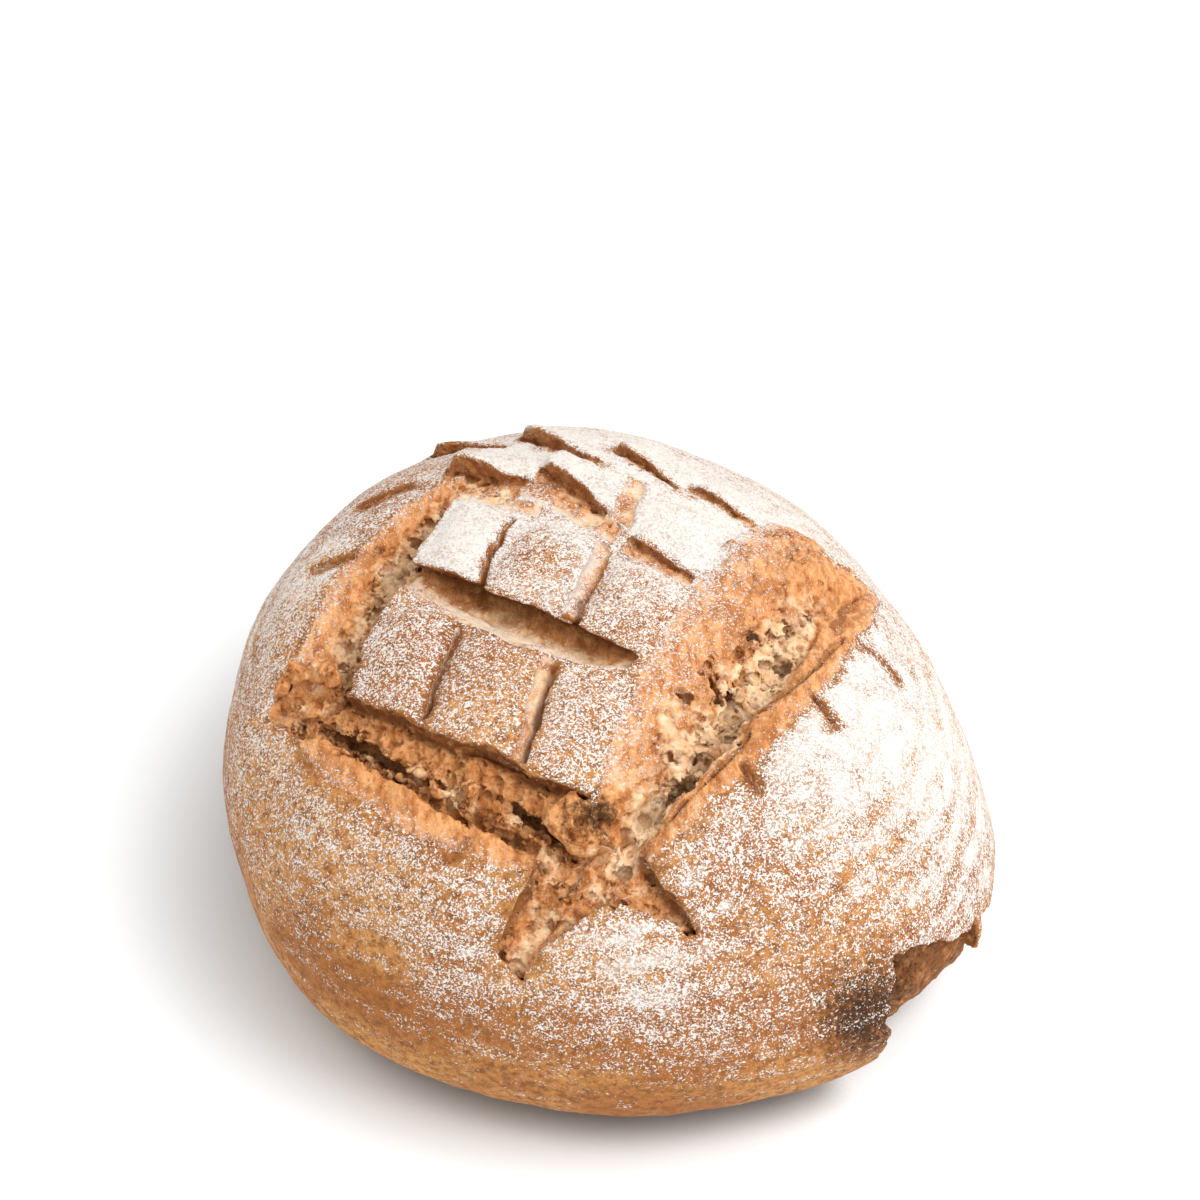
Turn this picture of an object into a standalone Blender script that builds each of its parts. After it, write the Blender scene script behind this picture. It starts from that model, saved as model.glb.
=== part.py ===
"""Sourdough loaf: a round rustic loaf, scored in a lattice and torn open along its outer cuts.

Lengths are in millimetres and become metres when the mesh is written. +Z is up, the origin lies
on the resting face under the middle of the loaf, and -Y is the side where the front tear forks.
Places on the crown are (across, back): across runs along the cross cuts, back square to them.
"""

import math

import bmesh
import bpy
import numpy as np

MM = 0.001

# The bare dome: an oval with a slightly leaning crown, cut flat where it rests
HEIGHT = 122.0
GIRTH = 44.0  # height of the widest line
OVAL = (115.0, 125.5, math.radians(44))  # half-axes and the turn of the first one
LEAN = (-16.0, 15.0)  # how far the crown has moved off the middle of the base
EGG = (0.155, math.radians(120))  # the side that swelled most, and its direction
LOBES = (0.036, math.radians(-28))  # three faint corners
CROWN_POWER = 2.4
FOOT_POWER = 2.5
FOOT_DEPTH = 0.8  # share of the lower half that stays above the resting face
MIDDLE = (-10.1, 21.9)  # middle of the dome's outline, which becomes the origin

# The lattice of cuts
SCORE_TURN = math.radians(-31)
LONG_CUTS = (-52, -25, 8, 35)  # where the cuts that run from front to back cross the front cut
CROSS_CUTS = (-67, -15, 32, 60)  # the cuts that run from side to side
CUT_LEAN = -0.2  # how far the long cuts lean aside on their way back
CELL_REARS = (-29, 22, 52)  # where the cells behind the first three cross cuts end
CELL_RISE = (3.2, 3.2, 1.9)  # how far the cells of each row puff up

# Swellings on the flanks: across, back, half-size, rise
SWELLINGS = ((-35, -98, 22, 2.5), (2, -100, 22, 2.5), (75, -20, 22, 2.0), (74, 24, 20, 2.0), (-84, -30, 24, 1.5))
SWELL_CORE = 0.1  # share of its half-size where a swelling is at its highest
SWELL_EDGE = 1.2  # and where it has died away
CROWN_ONLY = (60.0, 78.0)  # heights between which the swellings come in

# Cross-sections of the tears' floors as (share across, height over the dome)
TROUGH = ((0.0, 0.5), (-0.12, -6), (0.1, -8), (0.4, -6), (0.75, -2.8), (1.0, 0.5))
DEEP_SLOPE = ((0.0, 0.5), (-0.05, -8), (0.2, -10), (0.42, -6), (0.6, -3), (0.85, -0.8), (1.0, 0.8))
LIPPED = ((0.0, 0.5), (0.03, -5), (0.35, -4.5), (0.42, -11), (0.52, -11), (0.58, -2.2), (0.8, 0.5), (0.97, 1.5))
WIDE = ((0.0, 0.5), (0.15, -0.8), (0.35, -3), (0.52, -8.5), (0.66, -9), (0.75, -2), (0.85, 1.5))
CRUMB = ((0.0, 0.5), (0.02, -5.5), (0.5, -6), (0.98, -5), (1.0, 0.5))
FORK = ((0.0, 0.5), (0.04, -5), (0.5, -6), (0.85, -3), (1.0, 0.5))
RIM = ((0.0, 0.5), (0.05, -5), (0.4, -2.5), (0.9, -1.5), (1.0, 0.5))
GROOVE = ((0.0, 0.5), (0.02, -6.5), (0.35, -6), (1.0, 0.5))
SHELF = ((0.0, 4.0), (0.0, -3.2), (0.45, -2.2), (1.0, 0.5))

# Tears: start, end and bow of the inner edge, the same of the outer edge, floor, share of the depth
# that is left at its two ends, share of its length over which the depth comes in
TEARS = (
    ("trough", ((-62, -14), (19, -15), 0), ((-60, -24), (19, -22), -7), TROUGH, (0.6, 0.2), 0.2),
    ("left", ((-52, -66), (-70, 24), 0), ((-70, -70), (-75, 30), 13), DEEP_SLOPE, (0.6, 0.2), 0.25),
    ("front", ((-56, -65), (31, -62), -4), ((-67, -78), (29, -86), -12), LIPPED, (0.5, 0.8), 0.15),
    ("right", ((36, -67), (20, 64), 8), ((53, -72), (59, 70), -12), WIDE, (0.8, 0.1), 0.25),
    ("junction", ((26, -76), (53, -68), 0), ((27, -88), (50, -82), 0), CRUMB, (0.8, 0.8), 0.3),
    ("fork_down", ((27, -84), (27, -105), -1), ((47, -82), (34, -105), -1), FORK, (1.0, 0.4), 0.6),
    ("fork_aside", ((52, -68), (72, -73), 1), ((46, -82), (70, -76), 1), FORK, (0.9, 0.2), 0.8),
    ("corner", ((-56, -61), (-60, -79), 0), ((-78, -62), (-72, -77), -1), RIM, (0.6, 0.8), 0.3),
    ("groove_front", ((11, -64), (-1, -29), 0), ((5.5, -65), (-6, -29), 0), GROOVE, (0.3, 0.6), 0.3),
    ("groove_back", ((-3, -14), (-10, 18), 0), ((-8.5, -14), (-17, 20), 0), GROOVE, (0.8, 0.1), 0.8),
)
# Lifted edges of the back rows: start, end and bow of the wall, the same of its foot, lift, its reach
STEPS = (
    ("step_left", ((-80, 33), (-45, 37), -1), ((-73, 17), (-40, 21), 0), 7.5, 13),
    ("step_middle", ((-52, 43), (-12, 30), 1), ((-49, 30), (-13, 21), 0), 6.5, 14),
    ("step_right", ((-8, 28), (20, 24), 0), ((-8, 21), (18, 19), 0), 3.6, 9),
    ("crown_left", ((-99, 51), (-72, 53), 0), ((-97, 46), (-71, 50), 0), 5.0, 11),
    ("crown_middle", ((-72, 64), (-34, 56), 0), ((-71, 59), (-35, 53), 0), 6.5, 12),
    ("crown_right", ((-41, 71), (-6, 60), 0), ((-41, 66), (-6, 57), 0), 5.0, 12),
    ("crown_edge", ((-7, 65), (22, 58), 0), ((-8, 61), (19, 55), 0), 3.6, 10),
)
STEP_ENDS = (0.4, 0.1)  # share of the depth that is left at the two ends of a step
STEP_RUN = 0.5
STEP_FADE = (0.4, 1.02)  # places along a step between which its lift fades out
STEP_START = 0.1  # place along a step where its lift is complete

# Knife cuts: start and end, width, depth
SLITS = (
    ((-25.5, -64), (-33, -31), 2.6, 5.0),
    ((-37.5, -13), (-46, 18), 3.4, 5.0),
    ((-94, -21), (-84, -13), 4.0, 4.0),
    ((-98, 13), (-88, 22), 4.4, 4.5),
    ((67, 6), (77, 2), 3.2, 3.5),
    ((62, -29), (70, -33), 3.4, 3.5),
)
SLIT_TAPER = 0.35  # share of its width and depth that a knife cut loses by its end
CUT_STEPS = 9  # places along each tear where its cutter is shaped
CUT_TOP = 14.0  # how far a cutter stands over the crust

# The side that burst low down: a pocket under the crust, from its free front edge round the right
BURST_TURNS = (math.radians(-51), math.radians(-22))
BURST_DEPTH = 10.0
BURST_FADE = 0.85  # share of the depth lost by its far end
BURST_TOP = (70.0, 47.0)  # height of its ceiling at the free edge and at the far end
BURST_LEVELS = (-4.0, 14.0, 32.0)  # heights where the pocket is at its full depth
BURST_EAVE = (8.0, 1.0, 0.75)  # drops under the ceiling where the roof begins and ends, and its depth share
BURST_CLEAR = 14.0  # how far its cutter stands out of the crust

CRUST = (0.62, 0.38, 0.19, 1.0)
SHARP = math.radians(40)


def smooth(low, high, x):
    t = np.clip((x - low) / (high - low), 0.0, 1.0)
    return t * t * (3 - 2 * t)


def edge(start, end, bow, count=CUT_STEPS):
    """A gently bowed edge as a row of places on the crown; a bow to the left of its run is above zero."""
    a, b = np.array(start, float), np.array(end, float)
    t = np.linspace(0, 1, count)[:, None]
    left = np.array([a[1] - b[1], b[0] - a[0]]) / np.hypot(*(b - a))
    return a + (b - a) * t + left * 4 * bow * t * (1 - t)


def plan(place):
    """Plan x and y of a place on the crown."""
    across, back = place
    cos, sin = math.cos(SCORE_TURN), math.sin(SCORE_TURN)
    return across * cos - back * sin, across * sin + back * cos


def swelling(points):
    """How far the crust has risen over the bare dome."""
    cos, sin = math.cos(SCORE_TURN), math.sin(SCORE_TURN)
    across = points[:, 0] * cos + points[:, 1] * sin
    back = points[:, 1] * cos - points[:, 0] * sin
    rise = np.zeros(len(points))
    for front, rear, height in zip(CROSS_CUTS, CELL_REARS, CELL_RISE):
        for a, b in zip(LONG_CUTS, LONG_CUTS[1:]):
            middle = (a + b) / 2 + CUT_LEAN * (back - CROSS_CUTS[0])
            u = np.clip(np.abs(across - middle) / ((b - a) / 2), 0, 1)
            v = np.clip(np.abs(back - (front + rear) / 2) / ((rear - front) / 2), 0, 1)
            rise = np.maximum(rise, height * (1 - u ** 3) * (1 - v ** 3))
    for a, b, half, height in SWELLINGS:
        away = np.hypot(across - a, back - b) / half
        rise = np.maximum(rise, height * (1 - smooth(SWELL_CORE, SWELL_EDGE, away)))
    for _, (start, end, _), _, height, reach in STEPS:
        run = np.subtract(end, start)
        length = np.hypot(*run)
        along = ((across - start[0]) * run[0] + (back - start[1]) * run[1]) / length ** 2
        behind = ((back - start[1]) * run[0] - (across - start[0]) * run[1]) / length
        ends = smooth(-STEP_START, STEP_START, along) * (1 - smooth(*STEP_FADE, along))
        slope = np.where(behind > 0, np.exp(-(np.maximum(behind, 0) / reach) ** 1.5), 0)
        rise = np.maximum(rise, height * slope * ends)
    return rise * smooth(*CROWN_ONLY, points[:, 2])


def dome(p):
    """Below zero inside the bare dome, above zero outside."""
    x, y, z = p[:, 0] + MIDDLE[0], p[:, 1] + MIDDLE[1], p[:, 2]
    climb = np.clip((z - GIRTH) / (HEIGHT - GIRTH), 0, 1)
    x, y = x - LEAN[0] * climb, y - LEAN[1] * climb
    turn = np.arctan2(y, x)
    half_a, half_b, tilt = OVAL
    reach = 1 / np.hypot(np.cos(turn - tilt) / half_a, np.sin(turn - tilt) / half_b)
    reach *= 1 + EGG[0] * np.cos(turn - EGG[1]) + LOBES[0] * np.cos(3 * (turn - LOBES[1]))
    out = np.hypot(x, y) / reach
    up = np.maximum(z - GIRTH, 0) / (HEIGHT - GIRTH)
    down = np.maximum(GIRTH - z, 0) / (GIRTH / FOOT_DEPTH)
    crown = (out ** CROWN_POWER + up ** CROWN_POWER) ** (1 / CROWN_POWER)
    foot = (out ** FOOT_POWER + down ** FOOT_POWER) ** (1 / FOOT_POWER)
    return np.where(z > GIRTH, crown, foot) - 1


def on_dome(rays):
    """Where rays from the heart of the loaf leave the bare dome, and the dome's slope there."""
    heart = np.array([-MIDDLE[0] * 0.5, -MIDDLE[1] * 0.5, GIRTH])
    low, high = np.zeros(len(rays)), np.full(len(rays), 2 * HEIGHT)
    for _ in range(30):
        middle = (low + high) / 2
        outside = dome(heart + rays * middle[:, None]) > 0
        high, low = np.where(outside, middle, high), np.where(outside, low, middle)
    points = heart + rays * low[:, None]
    slope = np.stack([dome(points + step) - dome(points - step) for step in np.eye(3) * 0.5], 1)
    return points, slope / np.linalg.norm(slope, axis=1)[:, None]


def on_crown(place):
    """The bare dome at a place on the crown, and the dome's slope there."""
    x, y = plan(place)
    low, high = GIRTH, HEIGHT
    for _ in range(24):
        middle = (low + high) / 2
        if dome(np.array([[x, y, middle]]))[0] < 0:
            low = middle
        else:
            high = middle
    point = np.array([[x, y, low]])
    slope = np.array([(dome(point + step) - dome(point - step))[0] for step in np.eye(3) * 0.5])
    return point[0], slope / np.linalg.norm(slope)


def shape_loaf():
    mesh = bmesh.new()
    bmesh.ops.create_icosphere(mesh, subdivisions=5, radius=1.0)
    rays = np.array([v.co[:] for v in mesh.verts])
    points, slope = on_dome(rays / np.linalg.norm(rays, axis=1)[:, None])
    points += slope * swelling(points)[:, None]
    for v, p in zip(mesh.verts, points):
        v.co = p * MM
    cut = bmesh.ops.bisect_plane(mesh, geom=mesh.verts[:] + mesh.edges[:] + mesh.faces[:],
                                 plane_co=(0, 0, 0), plane_no=(0, 0, -1), clear_outer=True)
    rim = [g for g in cut["geom_cut"] if isinstance(g, bmesh.types.BMEdge)]
    bmesh.ops.contextual_create(mesh, geom=rim)
    bmesh.ops.recalc_face_normals(mesh, faces=mesh.faces[:])
    return mesh


def skin(rings):
    """One closed body through a row of outlines that have the same number of points."""
    mesh = bmesh.new()
    loops = [[mesh.verts.new(tuple(p * MM)) for p in ring] for ring in rings]
    for a, b in zip(loops, loops[1:]):
        for k in range(len(a)):
            mesh.faces.new((a[k], a[(k + 1) % len(a)], b[(k + 1) % len(b)], b[k]))
    mesh.faces.new(loops[0])
    mesh.faces.new(loops[-1][::-1])
    bmesh.ops.recalc_face_normals(mesh, faces=mesh.faces[:])
    bmesh.ops.triangulate(mesh, faces=mesh.faces[:])
    return mesh


def shape_tear(inner, outer, floor, ends, run):
    """Cutter for a tear, with the tear's floor as its underside."""
    rings = []
    outline = ((floor[0][0], CUT_TOP),) + floor + ((floor[-1][0], CUT_TOP),)
    for part, a, b in zip(np.linspace(0, 1, CUT_STEPS), edge(*inner), edge(*outer)):
        depth = min(1, ends[0] + part / run, ends[1] + (1 - part) / run)
        ring = []
        for share, height in outline:
            point, slope = on_crown(a + (b - a) * share)
            ring.append(point + slope * (height * depth if height < 0 else height))
        rings.append(ring)
    return skin(rings)


def shape_slit(start, end, width, depth):
    """Wedge cutter for a knife cut."""
    line = edge(start, end, 0)
    side = np.array([start[1] - end[1], end[0] - start[0]]) / np.hypot(*np.subtract(end, start))
    outline = ((-1.6, CUT_TOP), (-0.5, 0.5), (0, -depth), (0.5, 0.5), (1.6, CUT_TOP))
    rings = []
    for part, spot in zip(np.linspace(0, 1, CUT_STEPS), line):
        left = 1 - SLIT_TAPER * part
        ring = []
        for share, height in outline:
            point, slope = on_crown(spot + side * share * width * left)
            ring.append(point + slope * (height * left if height < 0 else height))
        rings.append(ring)
    return skin(rings)


def shape_burst():
    """Cutter for the pocket: outlines from its free front edge round to where it runs out."""
    rings = []
    for part in np.linspace(0, 1, CUT_STEPS):
        turn = BURST_TURNS[0] + (BURST_TURNS[1] - BURST_TURNS[0]) * part
        ray = np.array([[math.cos(turn), math.sin(turn), 0.0]])
        top = BURST_TOP[0] + (BURST_TOP[1] - BURST_TOP[0]) * part
        depth = BURST_DEPTH * (1 - BURST_FADE * part ** 2)
        eave, brim, share = BURST_EAVE
        outline = [(z, depth) for z in BURST_LEVELS]
        outline += [(top - eave, depth), (top - brim, depth * share), (top, -BURST_CLEAR)]
        outline += [(top - eave, -BURST_CLEAR), (BURST_LEVELS[0], -BURST_CLEAR)]
        ring = []
        for z, inset in outline:
            low, high = 0.0, 2 * HEIGHT
            while high - low > 0.1:
                reach = (low + high) / 2
                inside = dome(ray * reach + [[0, 0, max(z, 2)]])[0] < 0
                low, high = (reach, high) if inside else (low, reach)
            ring.append(np.array([*(ray[0, :2] * (low - inset)), z]))
        rings.append(ring)
    return skin(rings)


def add_object(name, mesh):
    data = bpy.data.meshes.new(name)
    mesh.to_mesh(data)
    mesh.free()
    thing = bpy.data.objects.new(name, data)
    bpy.context.scene.collection.objects.link(thing)
    return thing


def crust_material():
    material = bpy.data.materials.new("crust")
    material.use_nodes = True
    shader = material.node_tree.nodes["Principled BSDF"]
    shader.inputs["Base Color"].default_value = CRUST
    shader.inputs["Roughness"].default_value = 0.75
    shader.inputs["Metallic"].default_value = 0.0
    return material


def cut_away(thing, name, mesh):
    cutter = add_object(name + "_cutter", mesh)
    cutter.hide_render = True
    cutter.display_type = "WIRE"
    taken = thing.modifiers.new(name, "BOOLEAN")
    taken.operation = "DIFFERENCE"
    taken.solver = "EXACT"
    taken.object = cutter


def main():
    for thing in list(bpy.data.objects):
        bpy.data.objects.remove(thing, do_unlink=True)
    loaf = add_object("loaf", shape_loaf())
    loaf.data.materials.append(crust_material())
    for name, inner, outer, floor, ends, run in TEARS:
        cut_away(loaf, name, shape_tear(inner, outer, floor, ends, run))
    for name, wall, foot, _, _ in STEPS:
        cut_away(loaf, name, shape_tear(wall, foot, SHELF, STEP_ENDS, STEP_RUN))
    for n, (start, end, width, depth) in enumerate(SLITS):
        cut_away(loaf, f"slit_{n}", shape_slit(start, end, width, depth))
    cut_away(loaf, "burst", shape_burst())
    loaf.data.shade_smooth()
    loaf.data.set_sharp_from_angle(angle=SHARP)


main()
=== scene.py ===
"""Looks of the sourdough loaf: one fine mesh for its torn, floured crust, loose flour over it, and a
small studio. It is laid out as an add-on and run as a script. Lengths inside it are in millimetres."""

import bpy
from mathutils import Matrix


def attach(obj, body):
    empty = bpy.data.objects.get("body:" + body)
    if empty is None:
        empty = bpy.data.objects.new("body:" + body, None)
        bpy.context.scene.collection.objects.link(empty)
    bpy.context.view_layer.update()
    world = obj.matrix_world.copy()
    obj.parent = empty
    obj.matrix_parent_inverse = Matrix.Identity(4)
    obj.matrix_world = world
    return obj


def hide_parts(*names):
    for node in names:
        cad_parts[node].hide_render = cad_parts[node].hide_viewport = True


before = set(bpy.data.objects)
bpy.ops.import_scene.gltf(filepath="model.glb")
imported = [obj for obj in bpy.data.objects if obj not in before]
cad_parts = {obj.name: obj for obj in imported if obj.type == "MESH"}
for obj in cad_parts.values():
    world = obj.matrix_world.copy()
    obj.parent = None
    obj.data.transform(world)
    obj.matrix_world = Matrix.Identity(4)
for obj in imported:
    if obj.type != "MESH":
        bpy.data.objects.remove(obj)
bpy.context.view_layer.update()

import math

import bpy
import numpy as np
import openvdb
from bpy.props import FloatProperty, FloatVectorProperty, IntProperty, PointerProperty
from bpy.types import Operator, Panel, PropertyGroup
from mathutils import Vector, noise

bl_info = {
    "name": "Sourdough Loaf",
    "version": (1, 0, 0),
    "blender": (4, 5, 0),
    "location": "3D View > Sidebar > Loaf",
    "description": "Builds a torn, floured round loaf and the studio it stands in",
    "category": "Object",
}

MM = 0.001


def rgb(r, g, b):
    """Colour of a screen value, 0 to 255, as the shaders count it."""
    def lin(v):
        v = v / 255
        return v / 12.92 if v <= 0.04045 else ((v + 0.055) / 1.055) ** 2.4
    return lin(r), lin(g), lin(b), 1.0


# ---------------------------------------------------------------- scoring
# Places on the crown are (across, back): across runs along the cross cuts, back square to them.

SCORE_TURN = math.radians(-31)
SCORE_COS, SCORE_SIN = math.cos(SCORE_TURN), math.sin(SCORE_TURN)
CROWN = (56, 82)  # heights where the carving begins and where the skin's lift is full
LONG_CUTS = (-52, -25, 8, 35)  # where the cuts that run from front to back cross the front cut
CROSS_CUTS = (-67, -15, 32, 60)  # the cuts that run from side to side
CUT_LEAN = -0.2  # how far the long cuts lean aside on their way back
CELL_BACKS = (-29, 22, 52)  # where each row of cells ends at the back, front row first
CELL_PUFFS = (1, 1, 0.6)  # how much each row puffs up


def long_cut(number, back):
    """The place on one of the long cuts that lies this far back."""
    return LONG_CUTS[number] + CUT_LEAN * (back - CROSS_CUTS[0]), back


def scored(x, y):
    """(across, back) for a place over the floor."""
    return x * SCORE_COS + y * SCORE_SIN, y * SCORE_COS - x * SCORE_SIN


def edge(start, end, bow=0.0):
    """A gently bowed edge as a row of places; a bow to the left of its run is above zero."""
    a, b = np.array(start, float), np.array(end, float)
    t = np.linspace(0, 1, 33)[:, None]
    left = np.array([a[1] - b[1], b[0] - a[0]]) / np.hypot(*(b - a))
    return a + (b - a) * t + left * 4 * bow * t * (1 - t)


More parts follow.
